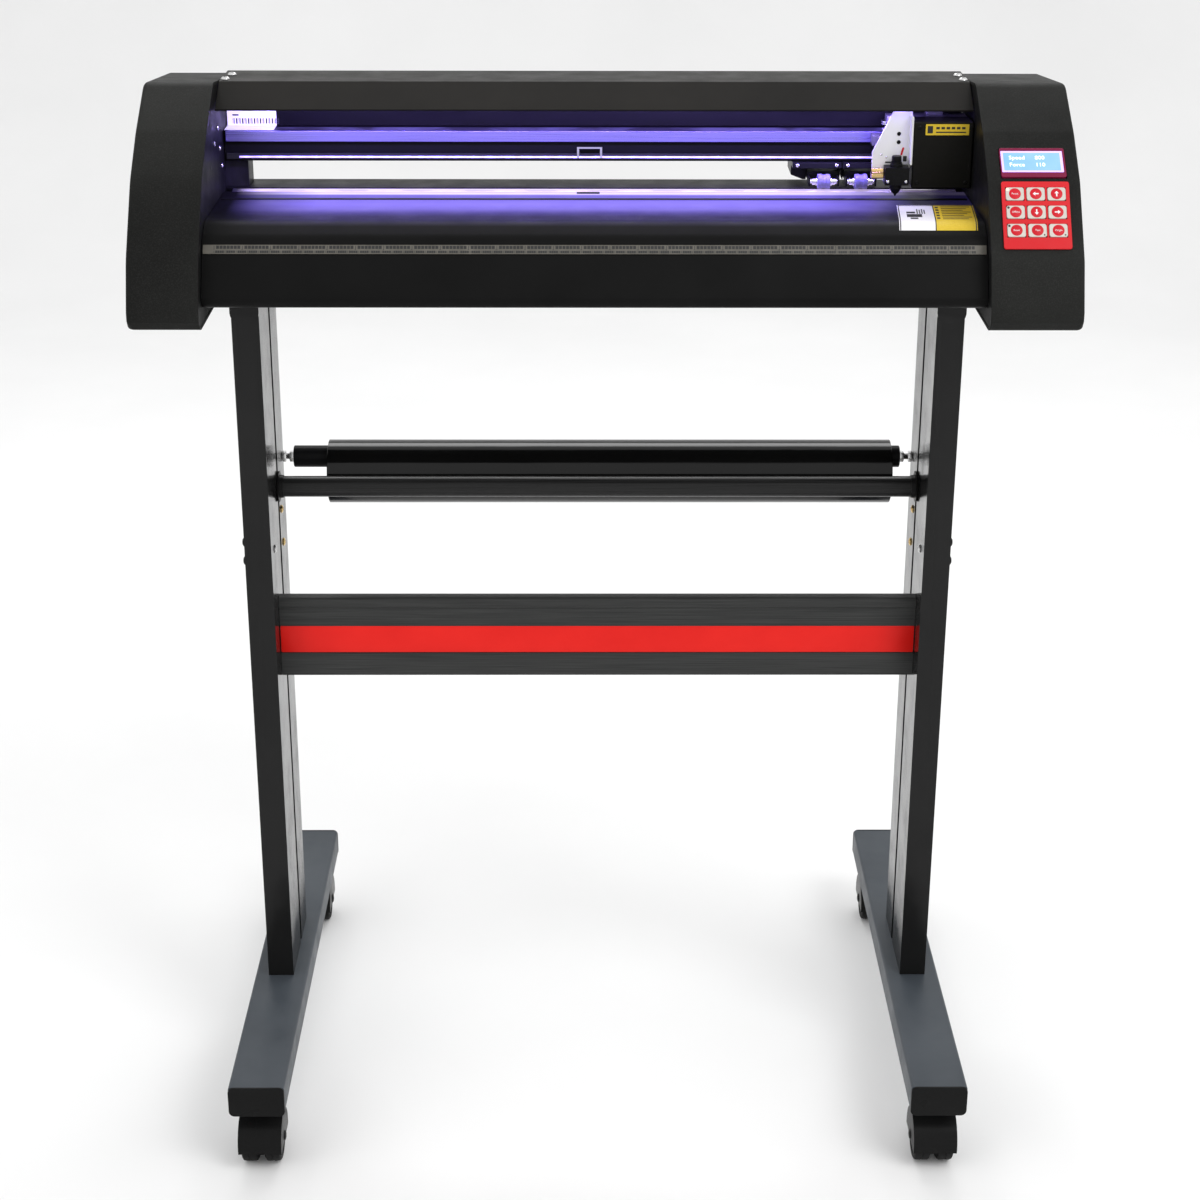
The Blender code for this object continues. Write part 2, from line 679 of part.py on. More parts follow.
# ---------------------------------------------------------------- carriage
def make_carriage():
    box_left, box_front, box_rear = 0.288, -0.030, 0.0
    box_low, box_high = 0.933, 0.9955
    rail_face = RAIL_FRONT - GAP - 0.0032
    front, back = -0.018, -0.015
    outline = (
        (PLATE_LEFT, 0.950),
        (box_left - GAP, 0.950),
        (box_left - GAP, 1.004),
        (PLATE_LEFT + 0.0187, 1.004),
        (PLATE_LEFT, 0.965),
    )
    sheet_front = prism(outline, "Y", front, back)
    plate = piece("carriage_plate", sheet_front, BARE_METAL, origin=(TOOL_X, 0.0, RAIL_HIGH))
    flange_left = box_left - GAP - 0.002
    add(plate, block((flange_left, box_front, 0.955), (box_left - GAP, front + 0.001, 1.000)))
    add(plate, block((PLATE_LEFT + 0.0105, back - 0.001, 0.960), (box_left - GAP, 0.004, 0.984)))
    slider = block(
        (PLATE_LEFT + 0.015, box_rear + 0.001, 0.960),
        (CARRIAGE_RIGHT - 0.002, rail_face - GAP, 0.995),
    )
    add(plate, slider)
    shoe = block((PLATE_LEFT + 0.0025, 0.006, 0.966), (PLATE_LEFT + 0.016, rail_face - GAP, 0.976))
    add(plate, shoe)
    belt_arm = block((0.305, 0.010, 0.985), (0.320, 0.0262, BELT_Z + 0.0025))
    add(plate, belt_arm)
    cover = piece(
        "carriage_cover",
        block((box_left, box_front, box_low), (CARRIAGE_RIGHT, box_rear, box_high)),
        BLACK_PLASTIC,
        origin=(box_left, 0.0, box_high),
    )
    wall = 0.002
    hollow = block(
        (box_left + wall, box_front + wall, box_low + wall),
        (CARRIAGE_RIGHT - wall, box_rear + 0.01, box_high - wall),
    )
    cut(cover, hollow)


def make_tool():
    left, right = 0.2625, 0.2850
    holder_radius = 0.006
    slide = piece(
        "tool_slide",
        block((left, -0.0345, 0.937), (right, -0.0185, 0.9535)),
        BLACK_PLASTIC,
        origin=(TOOL_X, TOOL_Y, CLAMP_Z),
    )
    socket = ((0.90, holder_radius + GAP), (0.99, holder_radius + GAP))
    cut(slide, turned(socket, "Z", (TOOL_X, TOOL_Y), 20))
    cut(slide, turned(((left - 0.01, 0.0023), (TOOL_X - 0.002, 0.0023)), "X", (TOOL_Y, CLAMP_Z), 12))
    profile = (
        (0.9256, 0.0008),
        (0.9290, 0.0035),
        (0.9330, holder_radius),
        (0.9600, holder_radius),
        (0.9600, 0.0075),
        (0.9635, 0.0075),
    )
    holder = turned(profile, "Z", (TOOL_X, TOOL_Y), 20)
    piece("blade_holder", holder, BARE_METAL, origin=(TOOL_X, TOOL_Y, CLAMP_Z), smooth=True)
    profile = (
        (0.2500, 0.0042),
        (0.2508, 0.0050),
        (0.2612, 0.0050),
        (0.2620, 0.0042),
        (0.2620, 0.0020),
        (TOOL_X - holder_radius - GAP, 0.0020),
    )
    screw = turned(profile, "X", (TOOL_Y, CLAMP_Z), 20)
    piece("clamp_screw", screw, BRASS, origin=(0.256, TOOL_Y, CLAMP_Z), smooth=True)


def make_carriage_drive():
    half = 0.003
    motor_top = MOTOR_SHELF + GAP + 0.0392
    body = block(
        (DRIVE_X - 0.021, BELT_Y - 0.021, MOTOR_SHELF + GAP), (DRIVE_X + 0.021, BELT_Y + 0.021, motor_top)
    )
    piece("carriage_motor", body, BLACK_COAT)
    for name, x, foot in (("motor_pulley", DRIVE_X, motor_top), ("idler_pulley", IDLER_X, IDLER_SHELF)):
        profile = (
            (foot + GAP, 0.0025),
            (BELT_Z - half - 0.001, 0.0025),
            (BELT_Z - half - 0.001, DRIVE_RADIUS),
            (BELT_Z + half + 0.001, DRIVE_RADIUS),
        )
        pulley = turned(profile, "Z", (x, BELT_Y), 20)
        piece(name, pulley, BARE_METAL, origin=(x, BELT_Y, BELT_Z), smooth=True)
    loops = [
        belt_loop((IDLER_X, BELT_Y), DRIVE_RADIUS + more, (DRIVE_X, BELT_Y), DRIVE_RADIUS + more)
        for more in (0.0016, 0.0004)
    ]
    piece("carriage_belt", ring_prism(*loops, "Z", BELT_Z - half, BELT_Z + half), RUBBER)


# ---------------------------------------------------------------- control panel and power
def slab(width, height, low, high, corner=0.0):
    """A plate drawn about the origin in X and Y, with rounded corners."""
    w, h = width / 2, height / 2
    corners = ((-w, -h), (w, -h), (w, h), (-w, h))
    return prism(rounded(corners, (corner,) * 4, 3) if corner else corners, "Z", low, high)


def make_control_panel(cover):
    frame = facet_frame(SCREEN_TOP, SCREEN_FOOT, 0.0363)
    cut(cover, slab(0.0594, 0.0340, -0.02, 0.02), frame)
    piece("lcd_module", slab(0.0588, 0.0334, -0.007, 0.0015, 0.002), SCREEN, frame=frame)
    frame = facet_frame(SCREEN_FOOT, KEYPAD_FOOT, 0.0365)
    cut(cover, slab(0.056, 0.053, -0.02, 0.02), frame @ Matrix.Translation((0, 0.0035, 0)))
    sheet_place = frame @ Matrix.Translation((0, 0.0016, 0))
    panel = piece("keypad_panel", slab(0.061, 0.0653, GAP, 0.0018, 0.002), RED_PANEL, frame=sheet_place)
    top_row = 0.02195
    for row, names in enumerate(KEY_NAMES):
        for column, name in enumerate(names):
            spot = frame @ Matrix.Translation(((column - 1) * KEY_PITCH_X, top_row - row * KEY_PITCH_Y, 0))
            cut(panel, slab(KEY_WIDTH + 2 * GAP, KEY_HEIGHT + 2 * GAP, -0.01, 0.01), spot)
            key = slab(KEY_WIDTH, KEY_HEIGHT, -0.0022, 0.0018 + KEY_TRAVEL, 0.002)
            piece(name, key, KEY_PLASTIC, frame=spot)


def make_power(cover):
    """The inlet and the rocker above it, let into the right cover's rear wall."""
    rear, inlet_z, rocker_z = 0.121, 0.868, 0.900

    def at_rear(half_width, half_height, z, inward, outward):
        return block(
            (PANEL_X - half_width, rear - inward, z - half_height),
            (PANEL_X + half_width, rear + outward, z + half_height),
        )

    cut(cover, at_rear(0.0138, 0.0103, inlet_z, 0.01, 0.01))
    inlet = piece("power_inlet", at_rear(0.0135, 0.010, inlet_z, 0.018, 0.0015), BLACK_PLASTIC)
    cut(inlet, at_rear(0.0115, 0.008, inlet_z, 0.014, 0.01))
    cut(cover, at_rear(0.0100, 0.0073, rocker_z, 0.01, 0.01))
    pivot = (PANEL_X, rear - 0.003, rocker_z)
    paddle = ((0.0055, -0.0060), (-0.0060, -0.0060), (-0.0060, 0.0060), (0.0055, 0.0060), (0.0035, 0.0))
    tilt = Matrix.Rotation(math.radians(8), 4, "X")
    rocker = prism(paddle, "X", -0.0094, 0.0094)
    piece("power_rocker", rocker, BLACK_PLASTIC, frame=Matrix.Translation(pivot) @ tilt)


def make_electronics():
    supply = block((-0.150, -0.110, 0.858), (0.000, -0.015, 0.893))
    piece("power_supply", supply, BARE_METAL)
    board = piece("control_board", block((0.050, -0.120, 0.860), (0.200, -0.020, 0.8616)), BOARD_GREEN)
    for low_x, low_y, high_x, high_y, height in (
        (0.070, -0.100, 0.095, -0.075, 0.004),
        (0.120, -0.105, 0.160, -0.085, 0.016),
        (0.125, -0.060, 0.145, -0.040, 0.020),
        (0.170, -0.110, 0.192, -0.040, 0.011),
    ):
        add(board, block((low_x, low_y, 0.861), (high_x, high_y, 0.8616 + height)))


def clear_scene():
    for thing in list(bpy.data.objects):
        bpy.data.objects.remove(thing, do_unlink=True)


def main():
    clear_scene()
    make_legs_and_feet()
    make_crossbeam()
    make_media_support()
    make_casters()
    make_bed()
    make_rail()
    right_cover = make_end_covers()
    make_end_plates()
    make_feed()
    for number, (x, edges) in enumerate(zip(PINCH_X, PINCH_EDGES), 1):
        make_pinch_unit(number, x, edges)
    make_carriage()
    make_tool()
    make_carriage_drive()
    make_control_panel(right_cover)
    make_power(right_cover)
    make_electronics()


main()
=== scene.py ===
"""The looks of the roll-fed vinyl cutter: finishes, rounded edges, fasteners, prints, lit
strips and the studio round it. Metres, +Z up, the front faces -Y."""

import json
from math import atan2, copysign, cos, hypot, pi, radians, sin, sqrt, tan

import bmesh
import bpy
from mathutils import Matrix, Vector


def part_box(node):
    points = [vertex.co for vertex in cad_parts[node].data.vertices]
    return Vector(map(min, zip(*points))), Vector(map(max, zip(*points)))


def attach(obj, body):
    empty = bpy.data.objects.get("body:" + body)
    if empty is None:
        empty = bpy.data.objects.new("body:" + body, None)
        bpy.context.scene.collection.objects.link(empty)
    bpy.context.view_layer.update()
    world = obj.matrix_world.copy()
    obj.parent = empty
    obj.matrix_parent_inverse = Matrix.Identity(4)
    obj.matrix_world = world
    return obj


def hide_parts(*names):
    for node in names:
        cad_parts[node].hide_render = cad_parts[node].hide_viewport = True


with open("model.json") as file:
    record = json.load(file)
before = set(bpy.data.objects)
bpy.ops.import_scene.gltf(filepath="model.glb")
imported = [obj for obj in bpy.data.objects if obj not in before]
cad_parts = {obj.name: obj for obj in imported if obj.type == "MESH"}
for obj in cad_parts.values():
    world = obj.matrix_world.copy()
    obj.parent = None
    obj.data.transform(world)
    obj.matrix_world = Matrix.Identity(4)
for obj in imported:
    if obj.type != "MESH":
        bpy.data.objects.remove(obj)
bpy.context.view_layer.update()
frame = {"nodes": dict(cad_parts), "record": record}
NODE_BODY = {
    node: body for body, members in frame["record"]["behaviour"]["bodies"].items() for node in members
}
SLOTS = {part["node"]: part["material_slot"] for part in frame["record"]["subparts"]}

GAP = 0.0003
PLATEN = 0.922
PANEL_X = 0.386
SIDES = (("left", -1), ("right", 1))
ENDS = (("front", -1), ("rear", 1))
KEY_NAMES = (
    ("pause_button", "left_button", "up_button"), ("offline_button", "down_button", "right_button"),
    ("reset_button", "test_button", "origin_button"),
)


def link(made):
    bpy.context.scene.collection.objects.link(made)


# ---------------------------------------------------------------- camera
def make_camera():
    data = bpy.data.cameras.new("camera")
    data.lens = 70.87
    data.sensor_width = 36.0
    data.clip_start, data.clip_end = 0.05, 50.0
    camera = bpy.data.objects.new("camera", data)
    pitch, yaw, roll = radians(68.038), radians(-0.391), radians(0.136)
    turn = Matrix.Rotation(yaw, 4, "Z") @ Matrix.Rotation(pitch, 4, "X") @ Matrix.Rotation(roll, 4, "Z")
    camera.matrix_world = shift(-0.0186, -2.2323, 1.4044) @ turn
    link(camera)
    bpy.context.scene.camera = camera


# ---------------------------------------------------------------- materials
FINISHES = {}


class Finish:
    """A node material under construction. Coordinates are the object's own, in metres."""

    def __init__(self, name, roughness=0.5, metallic=0.0):
        self.material = bpy.data.materials.new(name)
        self.material.use_nodes = True
        self.tree = self.material.node_tree
        self.shader = next(n for n in self.tree.nodes if n.type == "BSDF_PRINCIPLED")
        self.set(Roughness=roughness, Metallic=metallic)
        self.place = self.node("ShaderNodeTexCoord").outputs["Object"]
        FINISHES[name] = self

    def feed(self, value, socket):
        """Links an output to an input, or sets the input's own value."""
        if isinstance(value, bpy.types.NodeSocket):
            self.tree.links.new(value, socket)
        else:
            socket.default_value = grey(value) if socket.type == "RGBA" else value

    def node(self, kind, inputs=None, **settings):
        made = self.tree.nodes.new(kind)
        for key, value in settings.items():
            setattr(made, key, value)
        for key, value in (inputs or {}).items():
            self.feed(value, made.inputs[key])
        return made

    def scaled(self, x, y, z):
        """The object's coordinates stretched, for grain that runs one way."""
        inputs = {"Scale": (x, y, z), "Vector": self.place}
        return self.node("ShaderNodeMapping", inputs).outputs["Vector"]

    def noise(self, scale, detail=3.0, place=None, rough=0.5, distortion=0.0):
        inputs = {"Scale": scale, "Detail": detail, "Roughness": rough, "Distortion": distortion}
        inputs["Vector"] = place or self.place
        return self.node("ShaderNodeTexNoise", inputs).outputs["Fac"]

    def ramp(self, source, stops):
        """A colour ramp. Each stop is (position, colour or grey level)."""
        made = self.node("ShaderNodeValToRGB", {"Fac": source})
        steps = made.color_ramp.elements
        while len(steps) < len(stops):
            steps.new(0.5)
        for step, (position, colour) in zip(steps, stops):
            step.position = position
            step.color = grey(colour)
        return made.outputs["Color"]

    def mix(self, share, one, two):
        """Colour between two tones. The colour mix uses inputs 0, 6 and 7, and output 2."""
        return self.node("ShaderNodeMix", {0: share, 6: one, 7: two}, data_type="RGBA").outputs[2]

    def spread(self, source, low=0.0, high=1.0, from_low=0.3, from_high=0.7):
        """A level mapped to a new range, and held at its ends."""
        inputs = {
            "Value": source, "From Min": from_low, "From Max": from_high, "To Min": low, "To Max": high,
        }
        return self.node("ShaderNodeMapRange", inputs).outputs["Result"]

    def fade(self, axis, start, end, low=0.0, high=1.0):
        """A level that changes along one of the object's axes, from start to end."""
        return self.spread(self.axis(axis), low, high, start, end)

    def maths(self, operation, *values):
        return self.node("ShaderNodeMath", dict(enumerate(values)), operation=operation).outputs[0]

    def times(self, one, two):
        return self.maths("MULTIPLY", one, two)

    def axis(self, name):
        """One of the object's coordinates."""
        return self.node("ShaderNodeSeparateXYZ", {0: self.place}).outputs[name]

    def colour(self, source):
        self.feed(source, self.shader.inputs["Base Color"])

    def tint(self, source, tone, lighter):
        """Colour between two tones, as the source says."""
        self.colour(self.mix(self.spread(source), tone, lighter))

    def rough(self, source):
        self.feed(source, self.shader.inputs["Roughness"])

    def bump(self, source, depth, strength=1.0):
        inputs = {"Distance": depth, "Strength": strength, "Height": source}
        self.feed(self.node("ShaderNodeBump", inputs).outputs["Normal"], self.shader.inputs["Normal"])

    def glow(self, colour, strength):
        self.feed(colour, self.shader.inputs["Emission Color"])
        self.feed(strength, self.shader.inputs["Emission Strength"])
        return self

    def set(self, **values):
        for key, value in values.items():
            self.shader.inputs[key.replace("_", " ")].default_value = value


def grey(colour):
    if isinstance(colour, (int, float)):
        return (colour, colour, colour, 1.0)
    return (*colour, 1.0) if len(colour) == 3 else colour


def worn(finish, tone, lighter, scale=9.0):
    """Slow changes of tone over a surface, as dust and handling leave."""
    patches = finish.noise(scale, 4.0)
    return finish.mix(finish.spread(patches, 0.0, 1.0, 0.35, 0.75), tone, lighter)


def powder_coat(name, tone, lighter, roughness=0.42, depth=0.00006, scale=1500.0):
    """Stoved powder paint: satin, with a fine orange-peel skin."""
    made = Finish(name, roughness)
    made.colour(worn(made, tone, lighter))
    made.rough(made.spread(made.noise(35.0, 3.0), roughness - 0.06, roughness + 0.08))
    made.bump(made.noise(scale, 2.0), depth)
    return made


def moulded(name, tone, lighter, roughness=0.6, scale=1100.0, depth=0.00012):
    """Plastic or crackle paint with a leathery grain."""
    made = Finish(name, roughness)
    speckle = made.noise(scale * 0.8, 2.0)
    dots = made.mix(made.spread(speckle, 0.0, 1.0, 0.45, 0.68), tone, lighter)
    made.colour(made.mix(0.35, worn(made, tone, lighter, 5.0), dots))
    made.rough(made.spread(made.noise(22.0, 3.0), roughness - 0.08, roughness + 0.06))
    made.bump(made.noise(scale, 3.0, rough=0.6), depth)


def lined(name, tone, lighter, rough, stretch, detail, depth, metallic=0.0):
    """Fine lines along one axis, in the tone, the roughness and the relief."""
    made = Finish(name, rough[0], metallic)
    lines = made.noise(1.0, detail, made.scaled(*stretch))
    made.tint(lines, tone, lighter)
    made.rough(made.spread(lines, *rough))
    made.bump(lines, depth)
    return made


def brushed(name, tone, lighter, roughness=0.3, along="X"):
    """Metal with fine lines along one axis."""
    stretch = [12.0 if letter == along else 2600.0 for letter in "XYZ"]
    return lined(name, tone, lighter, (roughness - 0.07, roughness + 0.1), stretch, 2.0, 0.00002, 1.0)


def brushed_paint(name, tone, lighter, roughness):
    """Painted tube with faint draw lines."""
    rough = (roughness - 0.08, roughness + 0.1)
    return lined(name, tone, lighter, rough, (10.0, 900.0, 900.0), 2.0, 0.00002)


def make_finishes():
    powder_coat("black_coat", 0.006, 0.01, 0.42)
    lit_coat("base_coat", 0.0035, 0.006, 0.42)
    rail_coat()
    powder_coat("leg_coat", 0.007, 0.01, 0.15, 0.00002)
    powder_coat("lid_coat", (0.01, 0.0093, 0.0083), (0.015, 0.0137, 0.0122), 0.45)
    moulded("cover_plastic", (0.007, 0.0072, 0.0067), (0.024, 0.0245, 0.023), 0.55)
    beam_tones = (0.018, 0.0185, 0.0185), (0.042, 0.043, 0.042)
    lined("beam_coat", *beam_tones, (0.38, 0.55), (14.0, 1800.0, 1800.0), 3.0, 0.00004)
    powder_coat("slate_coat", (0.042, 0.05, 0.06), (0.062, 0.072, 0.084), 0.4)
    moulded("black_plastic", 0.006, 0.01, 0.36, 700.0, 0.00004)
    moulded("cap_plastic", 0.007, 0.011, 0.32, 500.0, 0.00003)
    moulded("box_plastic", (0.006, 0.006, 0.0052), (0.01, 0.0095, 0.008), 0.45, 900.0, 0.00006)
    brushed("bare_metal", 0.52, 0.7, 0.3)
    plate_metal()
    brushed("screw_metal", 0.6, 0.82, 0.2, "Z")
    grit_metal()
    rail_metal()
    brushed_paint("dark_tube", (0.006, 0.006, 0.0065), (0.01, 0.01, 0.011), 0.4)
    brushed_paint("bar_paint", (0.01, 0.01, 0.01), (0.016, 0.016, 0.016), 0.3)
    gloss_vinyl()
    card()
    moulded("rubber", 0.008, 0.014, 0.55, 500.0, 0.00008)
    moulded("pinch_rubber", (0.15, 0.135, 0.3), (0.2, 0.185, 0.38), 0.45, 900.0, 0.00006)
    brushed("brass", (0.62, 0.42, 0.16), (0.8, 0.6, 0.28), 0.24)
    printed("ruler_print", (0.075, 0.069, 0.056), (0.11, 0.101, 0.084), (120.0, 4.0), 50.0, 1400.0)
    light_strip("light_strip", 2.2)
    light_strip("lid_light", 8.0)
    red_film("red_panel", (0.54, 0.004, 0.009), (0.61, 0.007, 0.014), 0.34)
    red_film("red_stripe", (0.68, 0.009, 0.006), (0.76, 0.014, 0.009), 0.4)
    red_film("red_disc", (0.5, 0.006, 0.016), (0.58, 0.01, 0.022), 0.4)
    moulded("key_plastic", (0.5, 0.47, 0.42), (0.58, 0.55, 0.5), 0.45, 900.0, 0.00003)
    red_film("bezel", (0.15, 0.006, 0.035), (0.2, 0.009, 0.05), 0.34)
    screen_glass()
    printed("screen_edge", (0.5, 0.4, 0.8), (0.55, 0.45, 0.85)).glow((0.44, 0.24, 1.0), 1.0)
    printed("readout", (0.8, 0.95, 1.0), (0.85, 0.97, 1.0)).glow((0.92, 0.97, 1.0), 1.0)
    board()
    printed("white_print", (0.72, 0.7, 0.72), (0.8, 0.79, 0.8))
    # The tag's paper glows pale violet. This is painted light from the lid strip, since the paper is no
    # lamp.
    printed("tag_paper_painted_glow", (0.72, 0.7, 0.72), (0.8, 0.79, 0.8)).glow((0.8, 0.74, 1.0), 0.6)
    printed("yellow_print", (0.58, 0.4, 0.02), (0.66, 0.48, 0.04))
    printed("dark_print", 0.006, 0.01)
    printed("glass_dot", (0.8, 0.1, 0.05), (0.9, 0.15, 0.08)).glow((1.0, 0.25, 0.12), 8.0)
    # Near-black discs and slots of painted shade, laid where holes and openings would show only shadow.
    printed("painted_hole_shade", 0.004, 0.006)
    brushed("aluminium_label", 0.55, 0.72, 0.35)
    for names, level in ((DULL, 0.07), (SATIN, 0.2)):
        for name in names:
            FINISHES[name].set(Specular_IOR_Level=level)


DULL = (
    "black_coat", "base_coat", "lid_coat", "cover_plastic", "rail_coat", "dark_tube", "black_plastic",
    "cap_plastic", "box_plastic", "rubber",
)
SATIN = (
    "leg_coat", "bar_paint", "beam_coat", "slate_coat", "red_panel", "red_stripe", "red_disc", "bezel",
    "yellow_print",
)


def lit_coat(name, tone, lighter, roughness):
    """The bed's satin paint, with the strips' violet light fading over the platen."""
    made = powder_coat(name, tone, lighter, roughness)
    rear, front = 0.012, -0.125
    stops = (
        (0.0, 0.0), (0.075, (0.01, 0.009, 0.03)), (0.187, (0.012, 0.01, 0.04)),
        (0.3, (0.045, 0.034, 0.17)), (0.41, (0.13, 0.1, 0.45)), (0.56, (0.17, 0.13, 0.62)),
        (0.67, (0.15, 0.115, 0.56)), (0.84, (0.115, 0.085, 0.46)), (0.89, (0.62, 0.52, 1.0)),
        (0.96, (0.5, 0.4, 1.0)), (1.0, 0.0),
    )
    colour = made.ramp(made.fade("Y", front, rear), stops)
    left = made.fade("X", -0.35, -0.27)
    right = made.fade("X", 0.19, 0.29, 1.0, 0.04)
    top = made.fade("Z", 0.911, 0.919)
    level = made.times(made.times(left, right), made.times(top, 1.5))
    made.glow(colour, level)


def plate_metal():
    """Pale painted plate, with darker slides behind it."""
    made = Finish("plate_metal", 0.36)
    behind = made.fade("Y", -0.015, -0.0145)
    pale = worn(made, 0.66, 0.76)
    made.colour(made.mix(behind, pale, 0.1))
    made.rough(made.spread(made.noise(35.0, 3.0), 0.3, 0.44))
    made.bump(made.noise(1500.0, 2.0), 0.00004)


def rail_coat():
    """Black beam with a bare web, smeared and lit violet from under the lid."""
    made = Finish("rail_coat", 0.45)
    smears = made.noise(20.0, 4.0, made.scaled(1.0, 1.0, 2.0), 0.55, 0.2)
    web = made.times(made.fade("Z", 0.9765, 0.9775), made.fade("Y", 0.04, 0.041, 1.0, 0.0))
    tone = made.mix(made.spread(smears, 0.0, 1.0, 0.4, 0.6), 0.03, 0.085)
    made.colour(made.mix(web, 0.005, tone))
    made.rough(made.spread(smears, 0.35, 0.6))
    made.bump(made.noise(1200.0, 2.0), 0.00005)
    shine = made.mix(made.spread(smears, 0.0, 1.0, 0.42, 0.58), (0.055, 0.042, 0.22), (0.17, 0.135, 0.72))
    ends = made.times(made.fade("X", -0.35, -0.2, 0.25, 1.0), web)
    made.glow(shine, made.times(ends, 0.9))


def rail_metal():
    """Ground steel rail, lit violet by the strip above it."""
    made = brushed("rail_metal", (0.24, 0.22, 0.46), (0.3, 0.28, 0.56), 0.3)
    left = made.fade("X", -0.35, -0.25, 0.3, 1.0)
    right = made.fade("X", 0.2, 0.3, 1.0, 0.3)
    made.glow((0.05, 0.025, 0.42), made.times(left, right))


def grit_metal():
    """Steel roller with bands of grit that grip the film, and a painted violet glow for the strips'
    light, fading at both ends.
    """
    made = Finish("grit_metal", 0.35, 1.0)
    grains = made.noise(2600.0, 2.0)
    across = made.maths("FRACT", made.times(made.axis("X"), 1 / 0.06))
    band = made.maths("LESS_THAN", made.maths("ABSOLUTE", made.maths("SUBTRACT", across, 0.5)), 0.27)
    tone = made.mix(made.spread(grains), 0.42, 0.66)
    made.colour(made.mix(band, 0.6, tone))
    made.rough(made.maths("MULTIPLY_ADD", band, 0.15, 0.3))
    made.bump(grains, 0.00008)
    # Painted light: a pale violet glow stands in for the strips' light on the roller. It is full in the
    # middle and fades out towards both ends.
    left = made.fade("X", -0.352, -0.33)
    right = made.fade("X", 0.2, 0.32, 0.8, 0.02)
    made.glow((0.78, 0.62, 1.0), made.times(left, right))


def gloss_vinyl():
    """Gloss black film: smooth, with the soft waves of a wound roll."""
    made = Finish("gloss_vinyl", 0.12)
    made.tint(made.noise(3.0, 2.0), 0.003, 0.005)
    waves = made.noise(1.0, 2.0, made.scaled(9.0, 60.0, 60.0))
    made.rough(made.spread(waves, 0.08, 0.16))
    made.bump(waves, 0.0004, 0.35)
    made.set(Specular_IOR_Level=0.25, Coat_Weight=0.08, Coat_Roughness=0.05)


def card():
    """Wound card tube."""
    made = Finish("card", 0.8)
    fibres = made.noise(1.0, 4.0, made.scaled(300.0, 1400.0, 1400.0))
    made.tint(fibres, (0.3, 0.22, 0.14), (0.42, 0.33, 0.23))
    made.bump(fibres, 0.0001)


def red_film(name, tone, lighter, roughness):
    """Printed film, nearly smooth."""
    made = Finish(name, roughness)
    made.colour(worn(made, tone, lighter, 14.0))
    made.rough(made.spread(made.noise(60.0, 3.0), roughness - 0.05, roughness + 0.08))
    made.bump(made.noise(1800.0, 2.0), 0.00002)


def printed(name, tone, lighter, mottle=(900.0, 3.0), wear=70.0, relief=1500.0):
    """Ink on a paper or film label."""
    made = Finish(name, 0.5)
    made.tint(made.noise(*mottle), tone, lighter)
    made.rough(made.spread(made.noise(wear, 2.0), 0.42, 0.58))
    made.bump(made.noise(relief, 2.0), 0.00002)
    return made


def light_strip(name, strength):
    """A strip of diodes behind a diffuser: brighter at each diode."""
    made = Finish(name, 0.4)
    pitch = 0.0167
    beads = made.maths("FRACT", made.times(made.axis("X"), 1 / pitch))
    near = made.maths("ABSOLUTE", made.maths("SUBTRACT", beads, 0.5))
    level = made.maths(
        "MULTIPLY_ADD", made.maths("POWER", made.maths("SUBTRACT", 1.0, near), 3.0), strength,
        strength * 0.3,
    )
    made.colour((0.6, 0.55, 0.9))
    made.glow((0.33, 0.24, 1.0), level)


def screen_glass():
    """Back-lit display: brighter in the middle, bluer at the rim."""
    made = Finish("screen", 0.12)
    haze = made.noise(40.0, 2.0)
    made.colour((0.05, 0.08, 0.12))
    made.glow(made.mix(made.spread(haze), (0.22, 0.55, 0.95), (0.34, 0.66, 1.0)), 0.95)
    made.set(Coat_Weight=0.5, Coat_Roughness=0.08)


def board():
    """Green board with a faint mesh of tracks."""
    made = Finish("board_green", 0.45)
    tracks = made.node("ShaderNodeTexBrick", {"Scale": 160.0, "Vector": made.place}).outputs["Fac"]
    made.colour(made.mix(tracks, (0.015, 0.11, 0.04), (0.03, 0.19, 0.08)))
    made.bump(tracks, 0.00005)


NODE_FINISH = {
    "base_extrusion": "base_coat", "rail_beam": "rail_coat", "top_cover": "lid_coat",
    "leg_left": "leg_coat", "leg_right": "leg_coat", "crossbeam": "beam_coat", "support_bar": "bar_paint",
    "carriage_plate": "plate_metal", "carriage_cover": "box_plastic", "grit_roller": "grit_metal",
    "guide_rail": "rail_metal", "pinch_1_wheel": "pinch_rubber", "pinch_2_wheel": "pinch_rubber",
    "lcd_module": "bezel",
}


# ---------------------------------------------------------------- shapes
def finished(shape, name, finish, matrix=None, body="root", smooth=35.0):
    """Makes the bmesh a named piece that rides on a body. Its slot follows from its finish."""
    mesh = bpy.data.meshes.new(name)
    bmesh.ops.recalc_face_normals(shape, faces=shape.faces)
    shape.to_mesh(mesh)
    shape.free()
    if matrix is not None:
        mesh.transform(matrix)
    if smooth:
        mesh.shade_smooth()
        mesh.set_sharp_from_angle(angle=radians(smooth))
    mesh.materials.append(FINISHES[finish].material)
    made = bpy.data.objects.new(name, mesh)
    link(made)
    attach(made, body)
    return made


def softened(node, width, segments=2, finish=None, angle=28.0):
    """The CAD solid again, its edges rounded, in place of the sharp one."""
    shape = bmesh.new()
    shape.from_mesh(frame["nodes"][node].data)
    bmesh.ops.remove_doubles(shape, verts=shape.verts, dist=2e-6)
    flat = radians(0.6)
    bmesh.ops.dissolve_limit(shape, angle_limit=flat, verts=shape.verts, edges=shape.edges)
    made = finished(
        shape, f"{node}_skin", finish or NODE_FINISH.get(node, SLOTS[node]), body=NODE_BODY[node],
        smooth=angle,
    )
    if width:
        round_edges(made, width, segments, angle)
    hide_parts(node)
    return made


def round_edges(made, width, segments=2, angle=28.0):
    bevel = made.modifiers.new("rounded", "BEVEL")
    bevel.width = width
    bevel.segments = segments
    bevel.limit_method = "ANGLE"
    bevel.angle_limit = radians(angle)
    bevel.use_clamp_overlap = True
    bevel.harden_normals = True
    bevel.miter_outer = "MITER_ARC"
    return made


